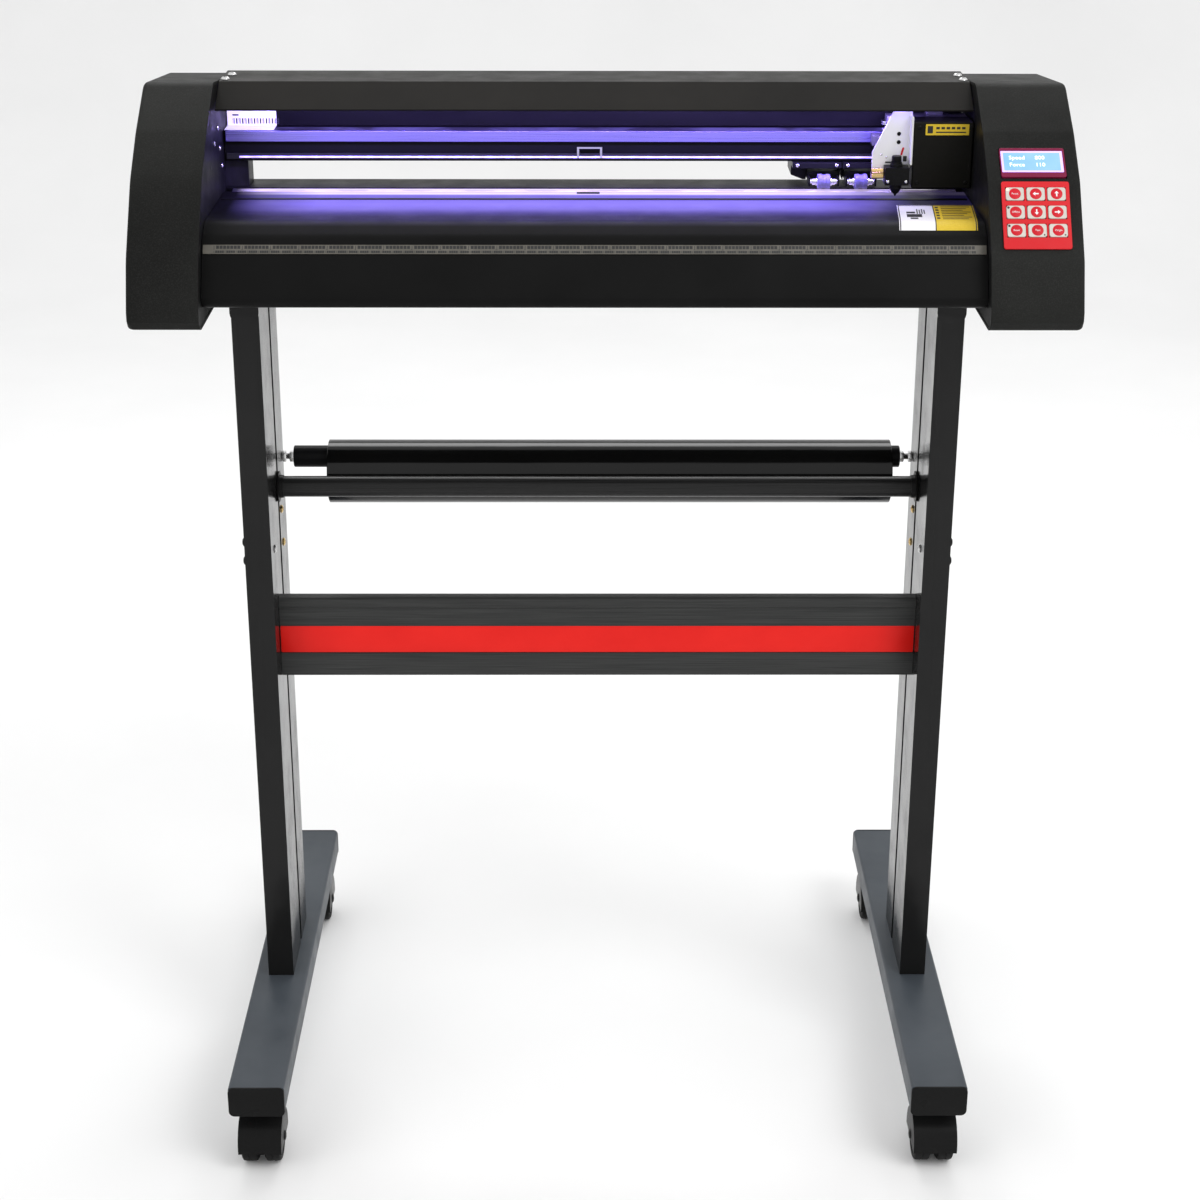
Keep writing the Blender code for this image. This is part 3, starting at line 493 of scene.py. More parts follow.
def lofted(rings, loop=False):
    """A closed shell through rings of points. A loop joins the last ring to the first."""
    shape = bmesh.new()
    rings = [[shape.verts.new(point) for point in ring] for ring in rings]
    for one, two in zip(rings, rings[1:] + rings[:1] if loop else rings[1:]):
        for i in range(len(one)):
            j = (i + 1) % len(one)
            shape.faces.new((one[i], one[j], two[j], two[i]))
    if not loop:
        shape.faces.new(rings[0][::-1])
        shape.faces.new(rings[-1])
    return shape


def turned(profile, count=32, loop=False):
    """A solid of revolution about Z from (height, radius) pairs. With loop they close a wall."""
    turns = [2 * pi * i / count for i in range(count)]
    return lofted([[(r * cos(a), r * sin(a), z) for a in turns] for z, r in profile], loop)


def slab(width, height, low, high, corner=0.0, steps=5, bevel=0.0):
    """A plate about the origin in X and Y with rounded corners, and a chamfered top edge."""
    w, h = width / 2, height / 2
    outline = []
    if corner:
        for cx, cy, start in ((w, h, 0), (-w, h, 90), (-w, -h, 180), (w, -h, 270)):
            x, y = cx - copysign(corner, cx), cy - copysign(corner, cy)
            for k in range(steps + 1):
                a = radians(start + 90 * k / steps)
                outline.append((x + corner * cos(a), y + corner * sin(a)))
    else:
        outline = [(w, h), (-w, h), (-w, -h), (w, -h)]
    rows = [(low, 0.0), (high, 0.0)]
    if bevel:
        rows = [(low, 0.0), (high - bevel, 0.0), (high - bevel * 0.3, bevel * 0.3), (high, bevel)]
    return lofted([[(x * (w - by) / w, y * (h - by) / h, z) for x, y in outline] for z, by in rows])


def prism(outline, axis, low, high):
    """A solid drawn through an outline, along X, Y or Z."""
    at = "XYZ".index(axis)
    return lofted([[(*p[:at], end, *p[at:]) for p in outline] for end in (low, high)])


def block(low, high):
    return prism(
        ((low[0], low[1]), (high[0], low[1]), (high[0], high[1]), (low[0], high[1])), "Z", low[2],
        high[2],
    )


def blocks(rows, low, high):
    """Bars of one thickness as one shape: each row is left, foot, right and top."""
    return merged([block((left, foot, low), (right, top, high)) for left, foot, right, top in rows])


def merged(shapes):
    """One bmesh that holds several separate closed shells."""
    whole = bmesh.new()
    for shape in shapes:
        mesh = bpy.data.meshes.new("part")
        shape.to_mesh(mesh)
        shape.free()
        whole.from_mesh(mesh)
        bpy.data.meshes.remove(mesh)
    return whole


def moved(shape, matrix):
    bmesh.ops.transform(shape, matrix=matrix, verts=shape.verts)
    return shape


def facing(point, normal, spin=0.0):
    """A matrix that puts local Z along the normal at a point."""
    turn = Vector(normal).to_track_quat("Z", "Y").to_matrix().to_4x4()
    return Matrix.Translation(point) @ turn @ Matrix.Rotation(spin, 4, "Z")


def framed(point, right, up):
    """A matrix whose local X and Y are the given directions at a point."""
    right, up = Vector(right).normalized(), Vector(up).normalized()
    return Matrix.LocRotScale(Vector(point), Matrix((right, up, right.cross(up))).transposed(), None)


def shift(x, y, z):
    return Matrix.Translation((x, y, z))


def upright(x, y, z):
    """A matrix for a plate that faces the front: local Y is up."""
    return framed((x, y, z), (1, 0, 0), (0, 0, 1))


def along_x(y, z, x=0.0):
    """Local Z runs along X, about an axle at y, z."""
    return shift(x, y, z) @ Matrix.Rotation(pi / 2, 4, "Y")


def text_shape(words, size, depth=0.0001, align="CENTER"):
    """Plain lettering or numbers as a closed solid lying in X and Y."""
    curve = bpy.data.curves.new("words", "FONT")
    curve.body = words
    curve.size = size
    curve.extrude = depth / 2
    curve.resolution_u = 2
    curve.align_x = align
    curve.align_y = "CENTER"
    holder = bpy.data.objects.new("words", curve)
    link(holder)
    bpy.context.view_layer.update()
    mesh = bpy.data.meshes.new_from_object(holder.evaluated_get(bpy.context.evaluated_depsgraph_get()))
    shape = bmesh.new()
    shape.from_mesh(mesh)
    bmesh.ops.remove_doubles(shape, verts=shape.verts, dist=1e-7)
    bpy.data.objects.remove(holder, do_unlink=True)
    bpy.data.curves.remove(curve)
    bpy.data.meshes.remove(mesh)
    return shape


def screw(name, point, normal, radius, body, finish="screw_metal", height=None, hexagon=True):
    """A button-head screw with a socket."""
    height = height or radius * 0.55
    socket = radius * 0.5
    profile = (
        (0.0, radius * 0.96), (height * 0.25, radius), (height * 0.7, radius * 0.84),
        (height * 0.93, radius * 0.62), (height, socket * 1.12), (height * 0.98, socket),
        (height * 0.45, socket * 0.96),
    )
    shape = turned(profile, 6 * 4)
    if hexagon:
        for vert in shape.verts:
            reach = hypot(vert.co.x, vert.co.y)
            if reach < socket * 1.05:
                bearing = atan2(vert.co.y, vert.co.x) % (pi / 3) - pi / 6
                pull = cos(pi / 6) / cos(bearing)
                vert.co.x *= pull
                vert.co.y *= pull
    return finished(shape, name, finish, facing(point, normal), body)


def screws(name, spots, *rest, **more):
    """Screws numbered from 1."""
    for number, spot in enumerate(spots, 1):
        screw(f"{name}_{number}", spot, *rest, **more)


def nut(name, point, normal, across, height, body, finish="screw_metal"):
    """A hexagon nut with chamfered corners."""
    reach = across / sqrt(3)
    rings = []
    for z, share in ((0.0, 0.93), (height * 0.15, 1.0), (height * 0.85, 1.0), (height, 0.93)):
        ring = []
        for i in range(12):
            a = radians(30 * i)
            corner = i % 2 == 0
            far = reach * (share if corner else min(1.0, share + 0.07) * cos(radians(30)))
            ring.append((far * cos(a), far * sin(a), z))
        rings.append(ring)
    shape = lofted(rings)
    return finished(shape, name, finish, facing(point, normal), body, smooth=20)


# ---------------------------------------------------------------- outlines shared with the CAD
def rounded(corners, radii, steps=4):
    """An outline of the corner points, each corner turned into an arc of its radius."""
    outline = []
    for i, corner in enumerate(corners):
        here = Vector(corner)
        back = (Vector(corners[i - 1]) - here).normalized()
        ahead = (Vector(corners[(i + 1) % len(corners)]) - here).normalized()
        if not radii[i]:
            outline.append(tuple(here))
            continue
        half = back.angle(ahead) / 2
        reach = radii[i] / tan(half)
        centre = here + (back + ahead).normalized() * radii[i] / sin(half)
        first = here + back * reach - centre
        last = here + ahead * reach - centre
        turn = atan2(first.x * last.y - first.y * last.x, first.dot(last))
        for step in range(steps + 1):
            spoke = first.copy()
            spoke.rotate(Matrix.Rotation(turn * step / steps, 2))
            outline.append(tuple(centre + spoke))
    return outline


def inset(outline, distance):
    """The outline moved inwards by the distance, for one that runs anticlockwise."""
    moved = []
    for i, point in enumerate(outline):
        here = Vector(point)
        back = (here - Vector(outline[i - 1])).normalized()
        ahead = (Vector(outline[(i + 1) % len(outline)]) - here).normalized()
        left = Vector((-back.y, back.x)) + Vector((-ahead.y, ahead.x))
        left.normalize()
        moved.append(tuple(here + left * distance / left.dot(Vector((-back.y, back.x)))))
    return moved


def facet_frame(upper, lower, down):
    """The CAD's frame on the sloping control panel: local Y runs up the slope, Z out of it."""
    up = (Vector(upper) - Vector(lower)).normalized()
    centre = Vector(upper) - up * down
    rotation = Matrix(((1, 0, 0), (0, up.x, -up.y), (0, up.y, up.x)))
    return Matrix.LocRotScale(Vector((PANEL_X, centre.x, centre.y)), rotation, None)


COVER_CORNERS = (
    (-0.192, 0.835), (0.121, 0.835), (0.121, 1.016), (-0.022, 1.03), (-0.078, 0.9955), (-0.121, 0.9605),
    (-0.168, 0.898),
)
SCREEN_TOP, SCREEN_FOOT, KEYPAD_FOOT = COVER_CORNERS[4], COVER_CORNERS[5], COVER_CORNERS[6]
SIDE = 0.428


# ---------------------------------------------------------------- stand
STAND_X, LEG_INNER, LEG_OUTER = -0.006, 0.321, 0.3474
LEG_MID = (LEG_INNER + LEG_OUTER) / 2


def make_stand():
    for word, side in SIDES:
        softened(f"leg_{word}", 0.0012)
        softened(f"foot_{word}", 0.0016)
        middle = STAND_X + side * LEG_MID
        for end, front in ENDS:
            place = framed((middle, front * 0.2698, 0.08385), (-front, 0, 0), (0, 0, 1))
            cap = slab(0.0552, 0.0321, 0.0, 0.0028, 0.0055, 5, 0.001)
            finished(cap, f"foot_cap_{end}_{word}", "cap_plastic", place)
        outer = STAND_X + side * LEG_OUTER
        spots = ((outer, -0.047, 0.5655), (outer, -0.047, 0.585))
        screws(f"leg_bolt_{word}", spots, (side, 0, 0), 0.005, "root", "cap_plastic", 0.003)
        inner = STAND_X + side * LEG_INNER
        spots = ((0.03, 0.592, "brass"), (0.034, 0.555, "brass"), (-0.033, 0.5726, "screw_metal"))
        for number, (y, z, metal) in enumerate(spots, 1):
            screw(
                f"leg_screw_{word}_{number}", (inner, y, z), (-side, 0, 0), 0.0042, "root", metal, 0.0018,
            )
    softened("crossbeam", 0.0)
    half = LEG_INNER - 0.0006
    stripe = slab(2 * half, 0.0288, 0.0, 0.0009, 0.0012, 2, 0.0003)
    place = upright(STAND_X, -0.0275 - 0.00005, 0.473)
    finished(stripe, "crossbeam_stripe", "red_stripe", place)
    softened("support_bar", 0.0006)
    for word, side in SIDES:
        inner = STAND_X + side * (LEG_INNER - 0.0003)
        flange = turned(
            ((0.0, 0.015), (0.0008, 0.0155), (0.0018, 0.0155), (0.0022, 0.0118), (0.006, 0.0113)), 36,
        )
        place = facing((inner, 0.012, 0.6225), (-side, 0, 0))
        finished(flange, f"bar_socket_{word}", "cap_plastic", place)


def make_media():
    """The roller with its nuts and studs, and the roll of film on its card core."""
    y, z, radius = 0.056, 0.6397, 0.011
    low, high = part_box("media_roller")
    left, right = low.x, high.x
    tube_left, tube_right = left + 0.0122, right - 0.0132
    roller = turned(
        (
            (left, 0.003), (tube_left - 0.0001, 0.003), (tube_left, 0.0085), (tube_left, radius - 0.0006),
            (tube_left + 0.0006, radius), (tube_right - 0.0006, radius), (tube_right, radius - 0.0006),
            (tube_right, 0.0085), (tube_right + 0.0001, 0.003), (right, 0.003),
        ),
        40,
    )
    tube_piece = finished(roller, "media_roller_tube", "dark_tube", along_x(y, z), "media_roller")
    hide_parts("media_roller")
    for word, near, leg, side in (("left", tube_left, left, 1), ("right", tube_right, right, -1)):
        thread = turned(thread_profile(abs(near - leg) - 0.0002, 0.0032, 0.0008), 20)
        place = facing((leg, y, z), (side, 0, 0))
        finished(thread, f"roller_stud_{word}", "screw_metal", place, "media_roller")
        nut(
            f"roller_nut_{word}", (near - side * 0.0001, y, z), (-side, 0, 0), 0.01, 0.0045,
            "media_roller",
        )
        nut(f"stud_nut_{word}", (leg + side * 0.0001, y, z), (side, 0, 0), 0.01, 0.004, "root")
    inside = 0.027
    hang = z + radius + GAP - inside
    left, right, outer, core = -0.279, 0.292, 0.032, 0.0292
    layers = 5
    layer = (outer - core - 0.0008) / layers
    turns = []
    for i in range(layers):
        depth = 0.0005 if i % 2 else 0.0
        inner = core + 0.0004 + i * layer
        turns += [(depth, inner + 0.0001), (depth, inner + layer)]
    wall = [(left, core), (left, core + 0.0004)] + [(left + depth, r) for depth, r in turns]
    wall += [(left + 0.0003, outer), (right - 0.0003, outer)]
    wall += [(right - depth, r) for depth, r in turns[::-1]] + [(right, core + 0.0004), (right, core)]
    film = finished(turned(wall, 72, True), "vinyl_film", "gloss_vinyl", along_x(y, hang), "vinyl_roll")
    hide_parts("vinyl_roll")
    wall = [(left + 0.0004, inside), (left, core - 0.0004), (left, core - 0.0001)]
    wall += [(right, core - 0.0001), (right, core - 0.0004), (right - 0.0004, inside)]
    finished(turned(wall, 56, True), "vinyl_core", "card", along_x(y, hang), "vinyl_roll")
    arc = [radians(-150 + 4 * i) for i in range(14)]
    section = [((outer + 0.0003) * cos(a), (outer + 0.0003) * sin(a)) for a in arc]
    section += [((outer + 0.00004) * cos(a), (outer + 0.00004) * sin(a)) for a in arc[::-1]]
    tail = prism([(y + u, hang + v) for u, v in section], "X", left + 0.0005, right - 0.0005)
    finished(tail, "vinyl_tail", "gloss_vinyl", body="vinyl_roll")


def thread_profile(length, radius, pitch):
    """The section of a threaded stud, as rings."""
    profile = [(0.0, radius - pitch * 0.3)]
    turns = int(length / pitch)
    for i in range(turns):
        profile.append((pitch * (i + 0.25), radius))
        profile.append((pitch * (i + 0.75), radius - pitch * 0.35))
    profile.append((length, radius - pitch * 0.3))
    return profile


def make_casters():
    for word, side in SIDES:
        for end, front in ENDS:
            name = f"caster_{end}_{word}"
            x, y = STAND_X + side * LEG_MID, front * 0.229
            axle = (y + front * 0.012, 0.025)
            softened(f"{name}_hood", 0.001, 2, "cap_plastic")
            half = (
                (0.0036, 0.004), (0.0036, 0.0225), (0.0044, 0.0242), (0.006, 0.025), (0.0106, 0.025),
                (0.0111, 0.0243), (0.0119, 0.0243), (0.0124, 0.025), (0.0162, 0.025), (0.0182, 0.0244),
                (0.0193, 0.0226), (0.0193, 0.0192), (0.0178, 0.0178), (0.0178, 0.0086), (0.0193, 0.0074),
                (0.0193, 0.004),
            )
            profile = [(-u, r) for u, r in half[::-1]] + list(half)
            wheels = finished(
                turned(profile, 48), f"{name}_tyres", "rubber", along_x(*axle, x), f"{name}_wheels",
            )
            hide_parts(f"{name}_wheels")
            collar = turned(((0.0, 0.0125), (0.0005, 0.0135), (0.0024, 0.0135), (0.0029, 0.0125)), 36)
            place = shift(x, y, 0.0648)
            finished(collar, f"{name}_collar", "screw_metal", place, name)
            for cap, way in (("inner", -side), ("outer", side)):
                dome = turned(((0.0, 0.0052), (0.0006, 0.005), (0.0013, 0.004), (0.0017, 0.0022)), 28)
                place = facing((x + way * 0.0214, *axle), (way, 0, 0))
                finished(dome, f"{name}_cap_{cap}", "cap_plastic", place, name)


# ---------------------------------------------------------------- machine body
BASE_CORNERS = (
    (-0.17, 0.852), (0.085, 0.852), (0.085, 0.905), (0.068, PLATEN), (-0.118, PLATEN), (-0.138, 0.9115),
    (-0.1485, 0.894),
)
BASE_RADII = (0.008, 0.006, 0.012, 0.012, 0.03, 0.02, 0.02)
LEAN = 0.085  # how far the sticker leans from square, across over along
PLATEN_LINES = (-0.034, -0.0475, -0.064, -0.096, -0.119)


def grooved(top):
    """The platen's edge from rear to front with its fine lines sunk in."""
    points = []
    half, depth = 0.0006, 0.0007
    lines = sorted(PLATEN_LINES, reverse=True)
    for one, two in zip(top, top[1:] + [None]):
        points.append(one)
        if two is None or one[0] <= two[0]:
            continue
        for y in lines:
            if one[0] > y + half and two[0] < y - half:
                slope = (two[1] - one[1]) / (two[0] - one[0])
                level = one[1] + slope * (y - one[0])
                points.append((y + half, level + slope * half))
                points.append((y + half * 0.5, level - depth))
                points.append((y - half * 0.5, level - depth))
                points.append((y - half, level - slope * half))
    return points


def make_bed():
    wall, grit_y, slot_half, steps = 0.003, 0.016, 0.0085, 8
    outer = rounded(BASE_CORNERS, BASE_RADII, steps)
    inner = inset(outer, wall)
    count = (steps + 1) * 4
    rear, front = grit_y + slot_half, grit_y - slot_half
    bead = 0.0008
    section = outer[:count] + [(rear + bead, PLATEN), (rear, PLATEN - bead), (rear, PLATEN - wall)]
    section += inner[:count][::-1] + inner[count:][::-1]
    section += [(front, PLATEN - wall), (front, PLATEN - bead), (front - bead, PLATEN)]
    section += grooved(outer[count:])
    low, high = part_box("base_extrusion")
    bed = finished(prism(section, "X", low.x, high.x), "bed_skin", "base_coat", smooth=24)
    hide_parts("base_extrusion")
    strip = slab(high.x - low.x - 0.004, 0.007, 0.0, 0.0004, 0.0008, 2, 0.0001)
    place = shift((high.x + low.x) / 2, -0.0262, PLATEN + 0.00002)
    finished(strip, "cutting_strip", "box_plastic", place)
    sensor = slab(0.022, 0.007, 0.0, 0.0006, 0.0015, 4, 0.0002)
    place = shift(-0.0155, 0.001, PLATEN + 0.00002)
    finished(sensor, "media_sensor", "black_plastic", place)


def make_ruler():
    """Marks and numbers on the apron's scale: inches on the upper edge, centimetres below."""
    upper, lower = Vector((-0.138, 0.9115)), Vector((-0.1485, 0.894))
    up = (upper - lower).normalized()
    out = Vector((-up.y, up.x))
    middle = (upper + lower) / 2 + out * (GAP + 0.0008) - up * 0.0012
    low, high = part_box("ruler_strip")
    place = framed((low.x, middle.x, middle.y), (1, 0, 0), (0, up.x, up.y))
    softened("ruler_strip", 0.0)
    length = high.x - low.x
    marks = []
    inch, start = 0.0254, 0.01
    thick = 0.00006
    for i in range(int((length - 2 * start) / (inch / 8)) + 1):
        wide, tall = (0.0013, 0.003) if i % 8 else (0.00025, 0.0038)
        x = start + i * inch / 8
        marks.append((x - wide, 0.0034 - tall, x + wide, 0.0034))
    for i in range(int((length - 2 * start) / 0.002) + 1):
        wide = 0.0002 if i % 5 == 0 else 0.00088
        x = start + i * 0.002
        marks.append((x - wide, -0.0034, x + wide, -0.0012))
    finished(blocks(marks, 0.0, thick), "scale_marks", "dark_print", place, smooth=0)
    numbers = []
    for i in range(1, int((length - 2 * start) / inch) + 1):
        spot = shift(start + i * inch - 0.0004, -0.0003, 0)
        numbers.append(moved(text_shape(str(i), 0.0018, thick), spot))
    finished(merged(numbers), "scale_numbers", "dark_print", place, smooth=0)


def make_covers():
    """The covers' skins, with the long outer edges turned over generously."""
    for word, side in SIDES:
        node = f"end_cover_{word}"
        skin = softened(node, 0.0)
        weights = skin.data.attributes.new("bevel_weight_edge", "FLOAT", "EDGE")
        outer = side * SIDE
        for edge in skin.data.edges:
            ends = [skin.data.vertices[i].co for i in edge.vertices]
            if all(abs(co.x - outer) < 1e-4 for co in ends):
                weights.data[edge.index].value = 1.0
        bevel = skin.modifiers.new("turned_over", "BEVEL")
        bevel.width = 0.0042
        bevel.segments = 5
        bevel.limit_method = "WEIGHT"
        bevel.harden_normals = False
        round_edges(skin, 0.0006, 2, 40.0)
        softened(f"end_plate_{word}", 0.0)


def make_top():
    softened("top_cover", 0.0006)
    softened("rail_beam", 0.0005)
    softened("guide_rail", 0.0004)
    spots = ((-0.3545, 0.043), (-0.3575, 0.018), (0.337, 0.043), (0.3385, 0.018))
    screws("lid_screw", [(x, y, 1.026) for x, y in spots], (0, 0, 1), 0.0042, "root", height=0.0026)
    low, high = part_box("top_cover")
    down = Vector((0, 0.0206, -0.033)).normalized()
    lip = Vector((0, -0.0205, 1.0076)) + down * 0.0022
    place = framed((0, *lip.yz), (1, 0, 0), Vector((0, -0.033, -0.0206)))
    strip = slab(high.x - low.x - 0.02, 0.006, -0.0012, 0.0, 0.0006, 2, 0.0)
    finished(strip, "lid_light", "lid_light", place)


def make_strip():
    """The row of diodes along the beam, on its dark tape."""
    low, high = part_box("led_strip")
    tape = block((low.x, high.y - 0.0014, low.z), high)
    tape = finished(tape, "strip_tape", "dark_print", smooth=0)
    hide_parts("led_strip")
    row = block((low.x + 0.012, low.y, 0.9514), (high.x - 0.006, high.y - 0.0016, 0.953))
    finished(row, "strip_row", "light_strip", smooth=0)


def make_marks_on_rail():
    """A paper tag with plain bars, folded off the web, and the bright frame at the middle."""
    face, ledge, left, right = 0.04975, 0.97725, -0.3625, -0.3154
    paper = (
        (0.0262, ledge - 0.0002), (face + 0.0002, ledge - 0.0002), (face + 0.0002, 0.9915),
        (face, 0.9915), (face, ledge), (0.0262, ledge),
    )
    # The tag's finish paints the lid strip's violet light on it as a glow.
    finished(prism(paper, "X", left, right), "tag", "tag_paper_painted_glow", smooth=0)
    bars, x = [], left + 0.005
    for i in range(24):
        width = 0.0004 + 0.0005 * ((i * 7) % 3)
        bars.append(block((x, face - 0.00006, 0.9785), (x + width, face - 0.00001, 0.9838)))
        x += width + 0.0006 + 0.0004 * ((i * 5) % 3)
    bars.append(block((left + 0.005, face - 0.00006, 0.9862), (left + 0.011, face - 0.00001, 0.9876)))
    finished(merged(bars), "tag_bars", "dark_print", smooth=0)
    place = upright(-0.0142, 0.0215 - 0.0002, 0.957)
    bars = (
        (-0.012, 0.0035, 0.012, 0.005), (-0.012, -0.0055, -0.01, 0.0035), (0.01, -0.0055, 0.012, 0.0035),
    )
    finished(blocks(bars, 0.0, 0.001), "centre_mark", "aluminium_label", place, smooth=0)


def make_plate_details():
    """Screws, and holes drawn as dark discs of painted shade, on the inner face of the left side frame.
    """
    face = -0.3635 + 0.00005
    spots = ((-0.0022, 0.9652), (0.0052, 0.9474), (-0.0078, 0.9852), (-0.034, 0.9753))
    screws("frame_screw_left", [(face, y, z) for y, z in spots], (1, 0, 0), 0.0024, "root", height=0.0012)
    # Each hole is a thin dark disc of painted shade on the frame's face, with no opening cut.
    for number, (y, z, radius) in enumerate(((-0.0497, 0.9954, 0.0035), (-0.06, 0.958, 0.0022)), 1):
        hole = turned(((0.0, radius), (0.0002, radius)), 28)
        finished(hole, f"frame_hole_{number}", "painted_hole_shade", facing((face, y, z), (1, 0, 0)))
    face = 0.3445 - 0.00005
    spots = ((face, -0.012, 0.988), (face, 0.004, 0.958))
    screws("frame_screw_right", spots, (-1, 0, 0), 0.0024, "root", height=0.0012)


def make_sticker():
    """A two-part paper sticker that follows the bed's front edge, with plain bars."""
    outer = rounded(BASE_CORNERS, BASE_RADII, 8)
    rear, front = -0.0515, -0.129
    path = [p for p in outer if front < p[0] < rear and p[1] > 0.905]
    path = [(rear, PLATEN)] + sorted(path, reverse=True)
    slope = (0.9115 - PLATEN) / (-0.138 + 0.118)
    path.append((front, PLATEN + slope * (front + 0.118)))
    left, split, right = 0.2722, 0.3055, 0.3432
    lean = Matrix.Identity(4)
    lean[0][1], lean[0][3] = LEAN, -LEAN * rear
    for name, finish, start, end in (
        ("sticker_paper", "white_print", left, split), ("sticker_yellow", "yellow_print", split, right),
    ):
        finished(strip_over(path, 0.0002, start, end), name, finish, lean)
    edges = [
        strip_over(path, 0.00026, x - 0.0005, x + 0.0005) for x in (left + 0.0012, split, right - 0.0012)
    ]
    low, high = PLATEN + 0.0002, PLATEN + 0.00026
    edges.append(block((left + 0.0012, rear - 0.0032, low), (right - 0.0012, rear - 0.0012, high)))
    finished(merged(edges), "sticker_edges", "dark_print", lean, smooth=0)
    bars = [(0.28, -0.086, 0.288, -0.079), (0.28, -0.101, 0.294, -0.089), (0.283, -0.109, 0.29, -0.103)]
    for i in range(4):
        bars.append((0.2895 + 0.0022 * i, -0.088, 0.2906 + 0.0022 * i, -0.068 - 0.003 * (i % 2)))
    for i in range(5):
        y = -0.061 - i * 0.011
        bars.append((0.3072, y - 0.0032, 0.3102, y + 0.0028))
    for i in range(8):
        y = -0.059 - i * 0.007
        bars.append((0.3125, y - 0.0013, 0.3395 - 0.0035 * (i % 3), y + 0.0013))
    finished(blocks(bars, low, high), "sticker_bars", "dark_print", lean, smooth=0)


def strip_over(path, lift, left, right):
    """A thin sheet laid over a path in Y and Z, between two X values."""
    near = [(y, z + 0.00003) for y, z in path]
    far = [(y, z + lift) for y, z in path]
    return prism(near + far[::-1], "X", left, right)


# ---------------------------------------------------------------- pinch units and carriage
PINCH_X = (0.21, 0.2455)


def make_pinch_units():
    axle = (0.016, 0.9301)
    for number, x in enumerate(PINCH_X, 1):
        name = f"pinch_{number}"
        softened(f"{name}_housing", 0.0007)
        softened(f"{name}_arm", 0.0004)
        half = ((0.0018, 0.0066), (0.0022, 0.0073), (0.0054, 0.0073), (0.006, 0.0067), (0.0062, 0.0046))
        profile = [(-u, r) for u, r in half[::-1]] + [(-0.0014, 0.0066), (0.0014, 0.0066)] + list(half)
        tyre = finished(
            turned(profile, 40), f"{name}_tyre", "pinch_rubber", along_x(*axle, x), f"{name}_wheel",
        )
        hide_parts(f"{name}_wheel")
        half = (
            (0.0063, 0.002), (0.0063, 0.004), (0.0078, 0.004), (0.008, 0.0032), (0.011, 0.0032),
            (0.0112, 0.0019), (0.0128, 0.0019),
        )
        for word, side in SIDES:
            profile = [(side * u, r) for u, r in half]
            hub = turned(profile, 28)
            finished(hub, f"{name}_hub_{word}", "screw_metal", along_x(*axle, x), f"{name}_wheel")
        low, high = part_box(f"{name}_housing")
        for word, at in (("left", low.x + 0.005), ("right", high.x - 0.005)):
            screw(
                f"{name}_screw_{word}", (at, low.y, 0.945), (0, -1, 0), 0.0018, name, "screw_metal",
                0.0008,
            )


def make_carriage():
    softened("carriage_plate", 0.0006)
    softened("carriage_cover", 0.0016, 3)
    face = -0.018
    spots = ((0.2757, face, 0.9824), (0.2757, face, 0.9746))
    screws("plate_screw", spots, (0, -1, 0), 0.0019, "carriage", "cap_plastic", 0.0011)
    # The plate's slot is a flat dark slab of painted shade, where the opening would show shadow.
    slot_face = upright(0.27, face + 0.0001, 0.9556)
    finished(slab(0.0125, 0.0014, 0.0, 0.0002, 0.0006), "plate_slot", "painted_hole_shade", slot_face, "carriage")
    mark = framed((0.2795, face + 0.0001, 0.966), (1, 0, 0), (0.25, 0, 1))
    finished(slab(0.0018, 0.0075, 0.0, 0.0006, 0.0006), "plate_mark", "red_disc", mark, "carriage")
    # The window too is a flat dark slab of painted shade.
    slot_face = upright(0.2822, face + 0.0001, 0.959)
    finished(
        slab(0.0036, 0.0052, 0.0, 0.0002, 0.0008), "plate_window", "painted_hole_shade", slot_face, "carriage",
    )
    spots = ((0.26, face, 0.963), (0.2648, face, 0.9605))
    screws("plate_pin", spots, (0, -1, 0), 0.0012, "carriage", "screw_metal", 0.0008, hexagon=False)
    front = upright(0.319, -0.03, 0.9885)
    finished(
        slab(0.0405, 0.0102, 0.00002, 0.00022, 0.0006), "box_sticker", "yellow_print", front, "carriage",
    )
    bars = [(-0.0185, -0.0034, -0.0135, 0.0034)]
    bars += [(-0.0105 + i * 0.0048, 0.0004, -0.0072 + i * 0.0048, 0.0026) for i in range(6)]
    bars.append((-0.0105, -0.003, 0.0175, -0.0018))
    finished(
        blocks(bars, 0.00022, 0.00028), "box_sticker_bars", "dark_print", front, "carriage", smooth=0,
    )
    spots = ((0.293, 0.9903), (0.3418, 0.9912), (0.293, 0.939), (0.3385, 0.939))
    spots = [(x, -0.03, z) for x, z in spots]
    screws("box_screw", spots, (0, -1, 0), 0.002, "carriage", "cap_plastic", 0.0009)
    for number, x in enumerate((0.2665, 0.2845), 1):
        roller = turned(
            (
                (0.0, 0.0046), (0.0004, 0.005), (0.0014, 0.005), (0.0019, 0.0042), (0.0024, 0.005),
                (0.0034, 0.005), (0.0038, 0.0046),
            ),
            32,
        )
        place = shift(x, 0.0105, 0.9862)
        finished(roller, f"guide_wheel_{number}", "screw_metal", place, "carriage")


